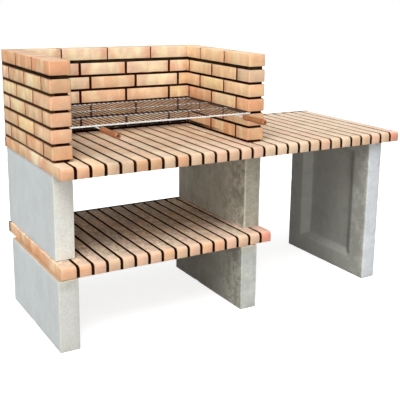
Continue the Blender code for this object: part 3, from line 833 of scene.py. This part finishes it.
# olive of the smudged dirt and painted shadow at the top of the legs' fronts
SMUDGE_AND_SHADOW_TONE = srgb(142, 132, 106)
RUBBED_CONCRETE = srgb(222, 221, 208)
LIME = Coat(srgb(226, 226, 214), 0.18)
HOLE_SHADE = Coat(srgb(92, 90, 82), 0.55)
SMALL_HOLE_SHADE = Coat(srgb(110, 108, 98), 0.25)
SPECK = Coat(srgb(216, 214, 200), 0.45)
LEG_FRONTWARDS = (-0.95, -0.65)  # the normal's y where a face stops counting as the front
LEG_UPWARDS = (0.88, 0.98)
NEAR_FRONT = (0.02, 0.26)  # behind the leg's front, where the flecks and the fine grime thin out
DIRTY_DEPTH = 0.30
DIRTY_BACK_SHARE = 0.35
DRIP_SHARE = 0.7
FLECK_SHARE = 0.7
CLEAN_FRONT_SHARE = 0.65
PALER_SHARE = 0.8  # of the mottling, towards pale
SIDE_SPECKLE_SHARE = 0.1
SMUDGE_AND_SHADOW_REACH = (0.055, 0.004)  # below the leg's top
RAGGED_WIDTH = 0.022
MOTTLE_HEIGHT, LEG_GRAIN_HEIGHT, SMALL_HOLE_HEIGHT = 0.5, 0.35, 0.5

# A leg's tones at its sides and front, which differ partly as the concrete's own tone and partly as painted
# light and shade, its dirt, and how dirty, mottled, rubbed and speckled it is
LegLook = namedtuple("LegLook", "side front dirt dirty mottled rubbed speckled")
PALE_SIDE = srgb(205, 210, 211)
BROWN_DIRT = srgb(192, 188, 170)
OLIVE_DIRT = srgb(90, 86, 70)
LEG_LOOKS = {
    "leg_upper_left": LegLook(PALE_SIDE, srgb(224, 223, 215), BROWN_DIRT, 0.20, 0.05, 0.10, 0.06),
    "leg_lower_left": LegLook(PALE_SIDE, srgb(208, 208, 201), BROWN_DIRT, 0.20, 0.05, 0.10, 0.06),
    "leg_upper_right": LegLook(srgb(188, 182, 167), srgb(178, 172, 155), OLIVE_DIRT, 0.6, 0.15, 0.45, 0.09),
    "leg_lower_right": LegLook(srgb(170, 168, 156), srgb(200, 202, 195), OLIVE_DIRT, 0.55, 0.14, 0.20, 0.04),
    "leg_side_table": LegLook(srgb(168, 168, 160), srgb(210, 214, 217), OLIVE_DIRT, 0.3, 0.07, 0.15, 0.02),
}


def dirty_and_shadowed_concrete(t, front_face, low, high, look):
    """Concrete with blotches, drips and grime, pale flecks near the front, and a darker band at the top of
    its front: smudged dirt and a painted shadow under the slab.
    """
    place = t.place()
    _, y, z = t.split(place)
    start, end = NEAR_FRONT
    near_front = t.between(y, low.y + start, low.y + end, 1.0, 0.0)
    grime = t.times(t.patches(place, LEG_NOISE["grime"]), near_front)
    drips = t.times(t.patches(place, LEG_NOISE["drips"]), DRIP_SHARE)
    dirty = t.larger(t.patches(place, LEG_NOISE["blotches"]), drips)
    dirty = t.times(dirty, t.between(y, low.y, low.y + DIRTY_DEPTH, 1.0, DIRTY_BACK_SHARE))
    dirty = t.times(t.larger(dirty, grime), look.dirty)
    on_side = t.minus(1.0, t.times(front_face, CLEAN_FRONT_SHARE))
    t.cover(t.times(dirty, on_side), look.dirt)
    flecks = t.times(t.patches(place, LEG_NOISE["flecks"]), near_front)
    flecks = t.times(flecks, t.times(on_side, FLECK_SHARE * look.dirty))
    t.cover(flecks, PALE_FLECK)
    # painted shadow under the slab, with smudged dirt, at the top of the leg's front
    start, end = SMUDGE_AND_SHADOW_REACH
    smudge_and_shadow = t.times(t.between(z, high.z - start, high.z - end), front_face)
    smudge_and_shadow = t.times(smudge_and_shadow, t.patches(place, LEG_NOISE["smudge_and_shadow"]))
    t.cover(smudge_and_shadow, SMUDGE_AND_SHADOW_TONE)


def concrete(name, low, high, look):
    """Cast concrete of one leg: sides and front in tones that are partly its own and partly painted light
    and shade, mottled and dirty, with lime, pores and pale, rubbed arrises.
    """
    material, t, shader = new_material(name)
    place = t.place()
    _, frontwards, upwards = t.facing()
    front_face = t.between(frontwards, *LEG_FRONTWARDS, 1.0, 0.0)
    # sides and front in tones of their own by the face's direction: partly the concrete's tone, partly
    # painted light and shade
    t.colour = t.mix(front_face, look.side, look.front)
    t.cover(t.between(upwards, *LEG_UPWARDS), BEDDING_TONE)
    mottle = t.noise(place, LEG_NOISE["mottle"])
    darkest, palest = 1.0 - look.mottled, 1.0 + PALER_SHARE * look.mottled
    mottling = LEG_NOISE["mottle"]._replace(least=darkest, most=palest)
    t.tint(t.eased(mottle, mottling))
    dirty_and_shadowed_concrete(t, front_face, low, high, look)
    speckling = t.between(front_face, 0.0, 1.0, SIDE_SPECKLE_SHARE * look.dirty, look.speckled)
    speckle = t.times(t.patches(place, LEG_NOISE["speckle"]), speckling)
    t.tint(t.plus(1.0, speckle))
    t.coat(t.patches(place, LEG_NOISE["lime"]), LIME)
    grain = t.grain(place, LEG_GRAIN)
    t.tint(grain["Shade"])
    holes, small = t.pores(place, LEG_HOLES), t.pores(place, LEG_SMALL_HOLES)
    t.coat(holes, HOLE_SHADE)
    t.coat(small, SMALL_HOLE_SHADE)
    middle, half = (Vector(low) + Vector(high)) / 2, (Vector(high) - Vector(low)) / 2
    offset = t.vector("SUBTRACT", place, tuple(middle))
    ragged = t.times(t.noise(place, LEG_NOISE["ragged"]), RAGGED_WIDTH)
    rubbed = t.arrises(offset, tuple(half), ragged)
    t.coat(rubbed, Coat(RUBBED_CONCRETE, look.rubbed))
    specks = t.pores(place, LEG_SPECKS._replace(amount=look.mottled))
    t.coat(specks, SPECK)
    height = t.plus(t.times(mottle, MOTTLE_HEIGHT), t.times(grain["Height"], LEG_GRAIN_HEIGHT))
    height = t.minus(height, t.plus(holes, t.times(small, SMALL_HOLE_HEIGHT)))
    roughness = t.between(mottle, 0.3, 0.7, 0.78, 0.94)
    others = {"Roughness": roughness, "Specular IOR Level": 0.25}
    t.surface(shader, height, Relief(0.5, 0.0020), others)
    return material


# Metal and wood

WIRE_DULLING = Noise(90.0, 3.0, low=0.45, high=0.75)
DRAW_LINES = Noise(1.0, 1.0, stretch=(900.0, 14.0, 900.0))
CLEAN_GLINTING_ENDS = (0.010, 0.016)  # behind the grill's front, where the rods' paler ends, cleaner metal with a painted glint, give way to their darker tone
RUST_BLOOM = Noise(60.0, 4.0, 0.65, low=0.42, high=0.62)
STEEL_TONES = (srgb(96, 92, 90), srgb(126, 70, 40))
WOOD_RINGS = Noise(1.0, low=0.35, high=0.65, stretch=(90.0, 6.0, 90.0))
WOOD_FIBRE = Noise(1.0, 4.0, 0.65, low=0.5, high=0.75, stretch=(260.0, 26.0, 260.0))
WOOD_TONES = (srgb(182, 118, 72), srgb(146, 88, 50))
DARK_FIBRE = Coat(srgb(112, 62, 34), 0.5)
# dark brown of the burnt ring and neck, and of the tip's hollow as end grain and painted shade
BURNT_AND_SHADED_WOOD = srgb(84, 50, 32)
BURNT_STRENGTH = 0.40
TIP_HOLLOW_SHADE_STRENGTH = 0.85
TIP_FACING = -0.95  # the normal's y under which a face looks out of the tip


def wire_metal(name, bright, dim, metallic, clean_glinting_front=None):
    """Wire with faint draw lines and dimmer spots, in a paler tone at its front ends where one is given:
    cleaner metal with a painted glint.
    """
    material, t, shader = new_material(name)
    place = t.place()
    dimmer = t.patches(place, WIRE_DULLING)
    t.colour = t.mix(dimmer, bright, dim)
    if clean_glinting_front:
        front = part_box("grill_grid")[0].y
        start, end = CLEAN_GLINTING_ENDS
        clean_glinting = t.between(t.split(place)[1], front + start, front + end, 1.0, 0.0)
        t.cover(clean_glinting, clean_glinting_front)
    others = {"Roughness": t.between(dimmer, 0.0, 1.0, 0.24, 0.42), "Metallic": metallic}
    t.surface(shader, t.noise(place, DRAW_LINES), Relief(0.15, 0.0003), others)
    return material


def bar_steel():
    """Hot-rolled reinforcing steel with a bloom of rust."""
    material, t, shader = new_material("Reinforcing steel")
    rust = t.patches(t.place(), RUST_BLOOM)
    others = {"Roughness": t.between(rust, 0.0, 1.0, 0.45, 0.9), "Metallic": t.minus(1.0, rust)}
    t.colour = t.mix(rust, *STEEL_TONES)
    t.surface(shader, rust, Relief(0.5, 0.0006), others)
    return material


def varnished_wood():
    """Turned hardwood: long grain, darker growth lines, a burnt ring and neck, a dark floor in its tip's
    hollow that is end grain and painted shade, and satin varnish.
    """
    material, t, shader = new_material("Varnished wood")
    place = t.place()
    fibre = t.noise(place, WOOD_FIBRE)
    t.colour = t.mix(t.patches(place, WOOD_RINGS), *WOOD_TONES)
    t.coat(t.eased(fibre, WOOD_FIBRE), DARK_FIBRE)
    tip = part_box("grill_handle_left")[0].y
    y = t.split(place)[1]
    from_ring = t.maths("ABSOLUTE", t.minus(y, tip + (1 - RING_SHARE) * HANDLE_LENGTH), 0.0)
    ring = t.between(from_ring, *RING_HALF_WIDTHS, 1.0, 0.0)
    neck = t.between(y, tip + (1 - NECK_SHARE) * HANDLE_LENGTH, tip + HANDLE_LENGTH)
    # the floor of the tip's hollow, painted dark: end grain and painted shade
    tip_hollow_shade = t.over(y, tip + (1 - HOLE_SHARE) * HANDLE_LENGTH)
    tip_hollow_shade = t.times(tip_hollow_shade, t.under(t.facing()[1], TIP_FACING), TIP_HOLLOW_SHADE_STRENGTH)
    burnt = t.times(t.larger(ring, neck), BURNT_STRENGTH)
    t.cover(t.larger(burnt, tip_hollow_shade), BURNT_AND_SHADED_WOOD)
    roughness = t.between(fibre, 0.3, 0.7, 0.34, 0.50)
    others = {"Roughness": roughness, "Coat Weight": 0.25, "Coat Roughness": 0.25}
    t.surface(shader, fibre, Relief(0.25, 0.0005), others)
    return material


# Bricks

class Brickyard:
    """Moulds one brick of each size and lays copies of it, each with its own tone and wear."""

    def __init__(self, clay):
        self.clay = clay
        self.moulds = {}
        self.laid = 0

    def mould(self, length, width, height, front):
        """A brick with its middle at the origin and its length along X. A nosed one is round at
        its upper edge towards -X, a rounded one at its two upright edges there."""
        key = (round(length / MM, 1), round(width / MM, 1), round(height / MM, 1), front)
        if key in self.moulds:
            return self.moulds[key]
        half = Vector((length, width, height)) / 2
        block = add_block("brick_mould", -half, half)
        with editing():
            if front == "nosed":
                select_edges(lambda a, b: max(a.x, b.x) < 0 and min(a.z, b.z) > 0)
                round_off(NOSE_RADIUS, NOSE_SEGMENTS)
            if front == "rounded":
                select_edges(lambda a, b: max(a.x, b.x) < 0 and abs(a.z - b.z) > height / 2)
                round_off(END_ROUNDING, END_SEGMENTS)
            round_off_sharp(BRICK_WEAR.arris, BRICK_WEAR.segments)
            cut_in_cells(-half, half, BRICK_WEAR.cell)
        self.moulds[key] = block
        return block

    def lay(self, low, high, along, tone, smeared_and_shaded, front="plain"):
        """A brick between two corners, with its length along X or Y. Its faces on the sides named by axis,
        sign and strength get mortar smear, darkened further as painted shade in the joints."""
        low, high = Vector(low), Vector(high)
        size = high - low
        length, width = (size.x, size.y) if along == "X" else (size.y, size.x)
        mesh = self.mould(length, width, size.z, front).data.copy()
        half = Vector((length, width, size.z)) / 2
        smears_and_shade = []
        for vert in mesh.vertices:
            marks = [
                strength * (abs(vert.co[axis] - sign * half[axis]) < TOUCHING)
                for axis, sign, strength in smeared_and_shaded
            ]
            smears_and_shade.append(max(marks))
        self.laid += 1
        seed = self.laid * SEED_STEP
        wear(mesh, -half, half, seed, BRICK_WEAR)
        count = len(mesh.vertices)
        colour, flames = CLAY[tone]
        offsets = [value for vert in mesh.vertices for value in vert.co]
        for name, kind, field, values in (
            ("brick_offset", "FLOAT_VECTOR", "vector", offsets),
            ("brick_half", "FLOAT_VECTOR", "vector", list(half) * count),
            ("brick_tone", "FLOAT_COLOR", "color", [*colour[:3], flames] * count),
            ("brick_seed", "FLOAT", "value", [seed] * count),
            ("brick_smear_and_shade", "FLOAT", "value", smears_and_shade),
        ):
            mesh.attributes.new(name, kind, "POINT").data.foreach_set(field, values)
        turn = Matrix.Rotation(math.pi / 2, 4, "Z") if along == "Y" else Matrix.Identity(4)
        mesh.transform(Matrix.Translation((low + high) / 2) @ turn)
        return add_object("brick", mesh)

    def clear_moulds(self):
        for mould in self.moulds.values():
            bpy.data.objects.remove(mould)

    def finish(self, name, bricks, replaced):
        piece = join(name, bricks)
        make_active(piece)
        bpy.ops.object.shade_smooth_by_angle(angle=BRICK_SMOOTHING)
        finish_piece(piece, self.clay, replaced=replaced)


def runs_of_bricks(start, end, first, length, joint):
    """Where the bricks of a course begin and end, from start towards end."""
    sign = 1 if end > start else -1
    total = abs(end - start)
    runs, at, stop = [], 0.0, first
    while total - at > joint:
        stop = min(stop, total)
        runs.append(tuple(sorted((start + sign * at, start + sign * stop))))
        at = stop + joint
        stop = at + length
    return runs


def lay_course(yard, node, along, runs, tones, set_back, end_smear_and_shade, mortar_blocks):
    """Lays the bricks of one course and notes the corners of the mortar in its upright joints."""
    low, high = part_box(node)
    axis = 0 if along == "X" else 1
    top_course = node.endswith("_1")
    beds = [(2, -1, 1.0)] if top_course else [(2, -1, 1.0), (2, 1, 1.0)]
    bricks = []
    for (start, end), tone in zip(runs, tones.split()):
        brick_low, brick_high = low.copy(), high.copy()
        brick_low[axis], brick_high[axis] = start, end
        at_front = along == "Y" and start - low.y < MM
        at_back = along == "Y" and high.y - end < MM
        ends = [(0, sign, end_smear_and_shade) for sign, free in ((-1, at_front), (1, at_back)) if not free]
        front = "rounded" if at_front else "plain"
        bricks.append(yard.lay(brick_low, brick_high, along, tone, beds + ends, front))
    ordered = sorted(runs)
    for (_, end), (start, _) in zip(ordered, ordered[1:]):
        joint_low, joint_high = low.copy(), high.copy()
        joint_low[axis], joint_high[axis] = end - JOINT_BITE, start + JOINT_BITE
        joint_low[1 - axis] += set_back
        joint_high[1 - axis] -= set_back
        if top_course:
            joint_high.z -= set_back
        mortar_blocks.append((joint_low, joint_high))
    yard.finish(node.replace("wall", "bricks"), bricks, [node])


def back_pointing(bottom, top):
    """Corners of the mortar struck flush at the two back corners of a bed."""
    left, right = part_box("wall_left_course_2"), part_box("wall_right_course_2")
    corners = []
    for outer, inner in (
        (left[0].x + POINTING_SET_BACK, left[0].x + POINTING_SIZE),
        (right[1].x - POINTING_SIZE, right[1].x - POINTING_SET_BACK),
    ):
        low = Vector((outer, left[1].y - POINTING_LENGTH, bottom - JOINT_BITE))
        high = Vector((inner, left[1].y - POINTING_SET_BACK, top + JOINT_BITE))
        corners.append((low, high))
    return corners


def lay_side_course(yard, side, course, blocks):
    tight = course == 1
    kind = "tight" if tight else "bleached" if side == "left" else "open"
    node = f"wall_{side}_course_{course}"
    low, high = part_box(node)
    joint = TIGHT_JOINT if tight else SIDE_JOINT
    first = (SIDE_PITCH if course % 2 else SIDE_PITCH / 2) - (SIDE_JOINT + joint) / 2
    runs = runs_of_bricks(low.y, high.y, first, SIDE_PITCH - joint, joint)
    set_back = TIGHT_SET_BACK if tight else SIDE_SET_BACK
    end_smear_and_shade = BLEACHED_SMEAR_AND_SHADE if kind == "bleached" else 1.0
    lay_course(yard, node, "Y", runs, SIDE_WALLS[side][course], set_back, end_smear_and_shade, blocks[kind])


def lay_back_course(yard, course, blocks):
    tight = course == 1
    node = f"wall_back_course_{course}"
    low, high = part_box(node)
    joint = TIGHT_JOINT if tight else BACK_JOINT
    runs = runs_of_bricks(high.x, low.x, BACK_FIRST_BRICK[course], BACK_BRICK_LENGTH, joint)
    set_back = TIGHT_SET_BACK if tight else BACK_SET_BACK
    lay_course(yard, node, "X", runs, BACK_WALL[course], set_back, 1.0, blocks["tight" if tight else "open"])


def lay_walls(yard, mortars):
    """The three walls, course by course, and the mortar of their upright joints by its kind."""
    blocks = {kind: [] for kind in mortars}
    for course in range(1, COURSES + 1):
        for side in SIDE_WALLS:
            lay_side_course(yard, side, course, blocks)
        lay_back_course(yard, course, blocks)
    for course in range(1, COURSES + 1):
        bed_low, bed_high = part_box(f"mortar_bed_{course}")
        blocks["open"] += back_pointing(bed_low.z, bed_high.z)
    for kind, material in mortars.items():
        joints = [add_block("upright_joint", low, high) for low, high in blocks[kind]]
        finish_piece(join(f"mortar_{kind}_joints", joints), material)


def strip_runs(depth, rng):
    """The bricks of one strip, butted end to end from the front to the back."""
    runs, at = [], 0.0
    length = rng.uniform(*STRIP_FIRST_BRICK)
    while at < depth:
        stop = at + length
        if depth - stop < STRIP_LEAST_BRICK:
            stop = depth
        runs.append((at, stop))
        at, length = stop, rng.choice(STRIP_BRICKS)
    return runs


def lay_strip(yard, slab, number, last, low, high, rng):
    """The bricks of one strip; the slab's outer strips have mortar on one side only."""
    smeared_and_shaded = [(1, 1, STRIP_SMEAR_AND_SHADE * (number > 1)), (1, -1, STRIP_SMEAR_AND_SHADE * (number < last))]
    bricks = []
    outer_tones = OUTER_STRIP_TONES.get(slab, ()) if number == 1 else ()
    for place, (start, stop) in enumerate(strip_runs(high.y - low.y, rng)):
        brick_low = Vector((low.x, low.y + start + BUTT_GAP / 2, low.z))
        brick_high = Vector((high.x, low.y + stop - BUTT_GAP / 2, high.z))
        at_front = start == 0
        tone = rng.choice(STRIP_TONES[slab])
        if at_front:
            tone = rng.choice(SHELF_NOSE_TONES) if slab == "shelf" else tone
            tone = FRONT_TONES[slab].get(number, tone)
        if outer_tones:
            tone = outer_tones[place % len(outer_tones)]
        front = "nosed" if at_front else "plain"
        bricks.append(yard.lay(brick_low, brick_high, "Y", tone, smeared_and_shaded, front))
    return bricks


def strip_spans(left, right, first_width, width, pitch):
    """Where each strip of a slab begins and ends, from left to right."""
    spans = [(left, left + first_width)]
    while spans[-1][1] < right - pitch / 2:
        end = spans[-1][1] + pitch
        spans.append((end - width, end))
    return spans


def lay_slab(yard, name, low, high, spans, rng):
    """All the strips of a slab whose solid holds its mortar too."""
    bricks = []
    for number, (start, end) in enumerate(spans, 1):
        strip_low, strip_high = Vector((start, low.y, low.z)), Vector((end, high.y - BACK_BAND, high.z))
        bricks += lay_strip(yard, name, number, len(spans), strip_low, strip_high, rng)
    yard.finish(f"bricks_{name}", bricks, [f"{name}_slab"])


def mortar_comb(name, low, high, spans, material):
    """The mortar between and behind the strips of a slab, set back from their faces."""
    top = high.z - JOINT_RECESS
    middle = (low.y + high.y) / 2
    band_low = (low.x + BAND_RECESS, high.y - BACK_BAND, low.z)
    band_high = (high.x - BAND_RECESS, high.y, high.z - BAND_RECESS)
    blocks = [add_block("band", band_low, band_high)]
    for (_, left), (right, _) in zip(spans, spans[1:]):
        fin_low = (left, low.y + JOINT_RECESS, low.z)
        fin_high = (right, high.y - BACK_BAND / 2, top)
        blocks.append(add_block("fin", fin_low, fin_high))
        with editing():
            select_edges(lambda a, b: max(a.y, b.y) < middle and min(a.z, b.z) > top - MM)
            round_off(NOSE_RADIUS, MORTAR_NOSE_SEGMENTS)
    finish_piece(join(f"mortar_{name}", blocks), material)


def lay_slabs(yard, mortars):
    rng = random.Random(STRIP_SEED)
    second_low, second_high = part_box("hearth_strip_02")
    third_low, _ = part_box("hearth_strip_03")
    width, pitch = second_high.x - second_low.x, third_low.x - second_low.x
    for number in range(1, HEARTH_STRIPS + 1):
        node = f"hearth_strip_{number:02d}"
        low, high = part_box(node)
        bricks = lay_strip(yard, "hearth", number, HEARTH_STRIPS, low, high, rng)
        yard.finish(f"bricks_hearth_{number:02d}", bricks, [node])
    for name, first_width in FIRST_STRIP_WIDTHS.items():
        low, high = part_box(f"{name}_slab")
        spans = strip_spans(low.x, high.x, first_width, width, pitch)
        lay_slab(yard, name, low, high, spans, rng)
        mortar_comb(name, low, high, spans, mortars[name])


# Legs

def sink_panel(low, high):
    """In edit mode, sinks a panel with sloped borders into the block's face towards -X."""
    y0, y1 = low.y + PANEL_MARGINS["side"], high.y - PANEL_MARGINS["side"]
    z0, z1 = low.z + PANEL_MARGINS["bottom"], high.z - PANEL_MARGINS["top"]
    for y in (y0, y1):
        cut_across((0, y, 0), (0, 1, 0))
    for z in (z0, z1):
        cut_across((0, 0, z), (0, 0, 1))

    def on_panel(face):
        middle = face.calc_center_median()
        inside = y0 < middle.y < y1 and z0 < middle.z < z1
        return inside and abs(middle.x - low.x) < MM

    select_parts("FACE", on_panel)
    bpy.ops.mesh.extrude_region_move(TRANSFORM_OT_translate={"value": (PANEL_DEPTH, 0, 0)})
    shrink = (1, 1 - 2 * PANEL_SLOPES["side"] / (y1 - y0), 1 - 2 * PANEL_SLOPES["end"] / (z1 - z0))
    centre = Vector((low.x + PANEL_DEPTH, (y0 + y1) / 2, (z0 + z1) / 2))
    bpy.ops.transform.resize(value=shrink, center_override=centre)


def cast_leg(node, seed, look):
    """A leg with worn arrises, in its solid's place."""
    low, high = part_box(node)
    leg = add_block(node.replace("leg", "cast_leg"), low, high)
    with editing():
        if node == "leg_side_table":
            sink_panel(low, high)
            round_off_sharp(PANEL_ROUNDING, LEG_WEAR.segments, PANEL_SHARP)
        else:
            round_off_sharp(LEG_WEAR.arris, LEG_WEAR.segments)
        cut_in_cells(low, high, LEG_WEAR.cell)
    wear(leg.data, low, high, seed, LEG_WEAR)
    bpy.ops.object.shade_smooth_by_angle(angle=LEG_SMOOTHING)
    place = node.removeprefix("leg_").replace("_", " ")
    material = concrete(f"Cast concrete {place}", low, high, look)
    finish_piece(leg, material, replaced=[node])


# Grill

def round_wire(name, runs, radius, resolution):
    """Straight wires with filled ends, made a mesh."""
    curve = bpy.data.curves.new(name, "CURVE")
    curve.dimensions = "3D"
    curve.bevel_depth = radius
    curve.bevel_resolution = resolution
    curve.use_fill_caps = True
    for run in runs:
        spline = curve.splines.new("POLY")
        spline.points.add(len(run) - 1)
        for point, at in zip(spline.points, run):
            point.co = (*at, 1)
    make_active(add_object(name, curve))
    bpy.ops.object.convert(target="MESH")
    wire = bpy.context.object
    with editing():
        close_mesh()
    bpy.ops.object.shade_smooth_by_angle(angle=ROUND_SMOOTHING)
    return wire


def weld_beads(places, material):
    """A flattened bead of weld at each place, all one piece."""
    deselect()
    bpy.ops.mesh.primitive_ico_sphere_add(subdivisions=1, radius=WELD_RADIUS)
    bead = bpy.context.object
    bead.scale = (1.0, 1.0, WELD_FLATNESS)
    bpy.ops.object.transform_apply()
    welds = []
    for place in places:
        mesh = bead.data.copy()
        mesh.transform(Matrix.Translation(place))
        welds.append(add_object("weld", mesh))
    bpy.data.objects.remove(bead)
    welded = join("grill_welds", welds)
    bpy.ops.object.shade_smooth()
    finish_piece(welded, material, "grill")


def evenly(first, last, count):
    return [first + (last - first) * n / (count - 1) for n in range(count)]


def weld_grill(bright, dimmer, smoked_with_painted_reflection):
    """The rods, darkened by fire and by a painted dark reflection, the cross wires and a weld at each
    crossing. The front wire and the welds are painted bright as a highlight; the rear wires are a darker
    copy without it.
    """
    low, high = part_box("grill_grid")
    wires_y = evenly(low.y + FRONT_WIRE_INSET, high.y - BACK_WIRE_INSET, CROSS_WIRES)
    rods_x = evenly(low.x + ROD_SIDE_GAP, high.x - ROD_SIDE_GAP, RODS)
    for name, places, radius, material in (
        ("grill_front_wire", wires_y[:1], FRONT_WIRE_RADIUS, bright),
        ("grill_cross_wires", wires_y[1:], CROSS_WIRE_RADIUS, dimmer),
    ):
        z = low.z + WIRE_RISE + radius
        wires = round_wire(name, [((low.x, y, z), (high.x, y, z)) for y in places], radius, WIRE_RESOLUTION)
        finish_piece(wires, material, "grill", ["grill_grid"])
    z = high.z - ROD_RADIUS
    runs = [((x, low.y, z), (x, high.y, z)) for x in rods_x]
    rods = round_wire("grill_rods", runs, ROD_RADIUS, ROD_RESOLUTION)
    finish_piece(rods, smoked_with_painted_reflection, "grill")
    # the welds in the near-white wire, painted bright as glints at the crossings
    weld_beads([(x, y, high.z - WELD_RADIUS) for y in wires_y for x in rods_x], bright)


def turn_handle(side, material):
    """A turned handle in its solid's place, spun from its profile."""
    low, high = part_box(f"grill_handle_{side}")
    mouth = Vector(((low.x + high.x) / 2, high.y, (low.z + high.z) / 2))
    mesh = bpy.data.meshes.new(f"turned_handle_{side}")
    points = [
        (0, -length_share * HANDLE_LENGTH, radius_share * HANDLE_RADIUS)
        for radius_share, length_share in HANDLE_PROFILE_SHARES
    ]
    mesh.from_pydata(points, [(n, n + 1) for n in range(len(points) - 1)], [])
    handle = add_object(f"turned_handle_{side}", mesh)
    make_active(handle)
    with editing():
        bpy.ops.mesh.select_all(action="SELECT")
        bpy.ops.mesh.spin(steps=HANDLE_STEPS, angle=2 * math.pi, center=(0, 0, 0), axis=(0, 1, 0))
        close_mesh()
    mesh.transform(Matrix.Translation(mouth))
    bpy.ops.object.shade_smooth_by_angle(angle=ROUND_SMOOTHING)
    finish_piece(handle, material, "grill", [f"grill_handle_{side}"])


# Studio

def pale_floor():
    """A plain floor that glows white where the camera sees it."""
    deselect()
    bpy.ops.mesh.primitive_plane_add(size=FLOOR_SIZE)
    floor = bpy.context.object
    floor.name = "studio_floor"
    material, t, shader = new_material("Pale floor")
    seen = t.add("LightPath").outputs["Is Camera Ray"]
    t.fill(
        shader,
        {
            "Base Color": t.mix(seen, FLOOR_GREY, FLOOR_SEEN_GREY),
            "Emission Color": t.mix(seen, BLACK, WHITE),
            "Emission Strength": FLOOR_GLOW,
            "Roughness": 1.0,
            "Specular IOR Level": 0.0,
        },
    )
    floor.data.materials.append(material)


def soft_sky():
    """A white sky, dimmer behind and near the horizon, and plain where the camera sees it."""
    world = bpy.data.worlds.new("Studio")
    bpy.context.scene.world = world
    world.use_nodes = True
    t = Tree(world.node_tree)
    seen = t.add("LightPath").outputs["Is Camera Ray"]
    _, y, z = t.split(t.add("TexCoord").outputs["Generated"])
    behind = t.between(y, *SKY_DEPTH, 1.0, SKY_BACK_SHARE)
    strength = t.times(behind, t.between(z, *SKY_HEIGHT, SKY_HORIZON_SHARE, 1.0), SKY_STRENGTH)
    final = t.add("Mix", {0: seen, 2: strength, 3: 1.0}, data_type="FLOAT").outputs[0]
    t.fill(world.node_tree.nodes["Background"], {"Color": WHITE, "Strength": final})


def hang_lamps():
    for name, (coming_from, softness, strength) in LAMPS.items():
        lamp = bpy.data.lights.new(name, "SUN")
        lamp.angle = softness
        lamp.energy = strength
        light = add_object(name, lamp)
        light.rotation_euler = Vector(coming_from).to_track_quat("Z", "Y").to_euler()


def place_camera():
    """The photograph's camera."""
    data = bpy.data.cameras.new("camera")
    data.lens, data.sensor_width = CAMERA_LENS, CAMERA_SENSOR
    data.shift_x, data.shift_y = CAMERA_SHIFT
    camera = add_object("camera", data)
    flat = math.cos(CAMERA_PITCH)
    forward = Vector((math.sin(CAMERA_YAW) * flat, math.cos(CAMERA_YAW) * flat, -math.sin(CAMERA_PITCH)))
    level_right = Vector((math.cos(CAMERA_YAW), -math.sin(CAMERA_YAW), 0))
    level_up = level_right.cross(forward)
    right = level_right * math.cos(CAMERA_ROLL) + level_up * math.sin(CAMERA_ROLL)
    up = level_up * math.cos(CAMERA_ROLL) - level_right * math.sin(CAMERA_ROLL)
    turn = Matrix((right, up, -forward)).transposed().to_4x4()
    camera.matrix_world = Matrix.Translation(CAMERA_EYE) @ turn
    bpy.context.scene.camera = camera
    bpy.context.scene.view_settings.view_transform = "Standard"


def studio():
    pale_floor()
    soft_sky()
    hang_lamps()
    place_camera()


# The whole barbecue

def dress_nodes(material, wanted):
    """Gives the CAD nodes whose names pass the test their material."""
    for name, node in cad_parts.items():
        if wanted(name):
            node.data.materials.clear()
            node.data.materials.append(material)


def dress_masonry():
    dark = mortar("Dark raked mortar", srgb(46, 17, 6), srgb(76, 40, 22), outside=srgb(104, 68, 38))
    slab = mortar("Slab mortar", srgb(32, 11, 3), srgb(58, 28, 15), top=TOP_MORTAR)
    shelf = mortar("Shelf mortar", srgb(32, 13, 4), srgb(52, 28, 14))
    cap = mortar("Cap mortar", srgb(46, 32, 21), srgb(84, 66, 46))
    brown = mortar("Brown upright mortar", srgb(62, 34, 18), srgb(96, 60, 36))
    bleached = mortar("Bleached upright mortar", srgb(112, 72, 44), srgb(150, 106, 70))
    dress_nodes(dark, lambda name: name.startswith("mortar_bed"))
    dress_nodes(slab, lambda name: "mortar" in name and "bed" not in name)
    dress_nodes(cap, lambda name: name == "mortar_bed_1")
    dress_nodes(bar_steel(), lambda name: "_bar_" in name)
    yard = Brickyard(fired_clay())
    lay_walls(yard, {"open": dark, "tight": brown, "bleached": bleached})
    lay_slabs(yard, {"shelf": shelf, "side_table": slab})
    yard.clear_moulds()
    for seed, (node, look) in enumerate(LEG_LOOKS.items(), 1):
        cast_leg(node, seed, look)


def dress_grill():
    # The chromed wire is near white and barely metallic, as a painted highlight; the rear cross wires get a
    # darker copy without it, and the rods a dark tone that is partly from the fire and partly a painted dark
    # reflection, paler at their front ends as a painted glint.
    bright = wire_metal("Chromed wire painted bright", srgb(243, 245, 244), srgb(222, 226, 224), 0.15)
    dimmer = wire_metal("Dimmer chromed wire", srgb(214, 211, 212), srgb(158, 152, 152), 0.3)
    clean_glinting = srgb(236, 236, 238)
    smoked_with_painted_reflection = wire_metal("Smoked rods with painted reflection", srgb(90, 82, 81), srgb(54, 47, 46), 0.5, clean_glinting)
    weld_grill(bright, dimmer, smoked_with_painted_reflection)
    # the shanks in the near-white wire too, as a painted highlight
    dress_nodes(bright, lambda name: name.startswith("grill_shank"))
    wood = varnished_wood()
    for side in ("left", "right"):
        turn_handle(side, wood)


studio()
dress_masonry()
dress_grill()
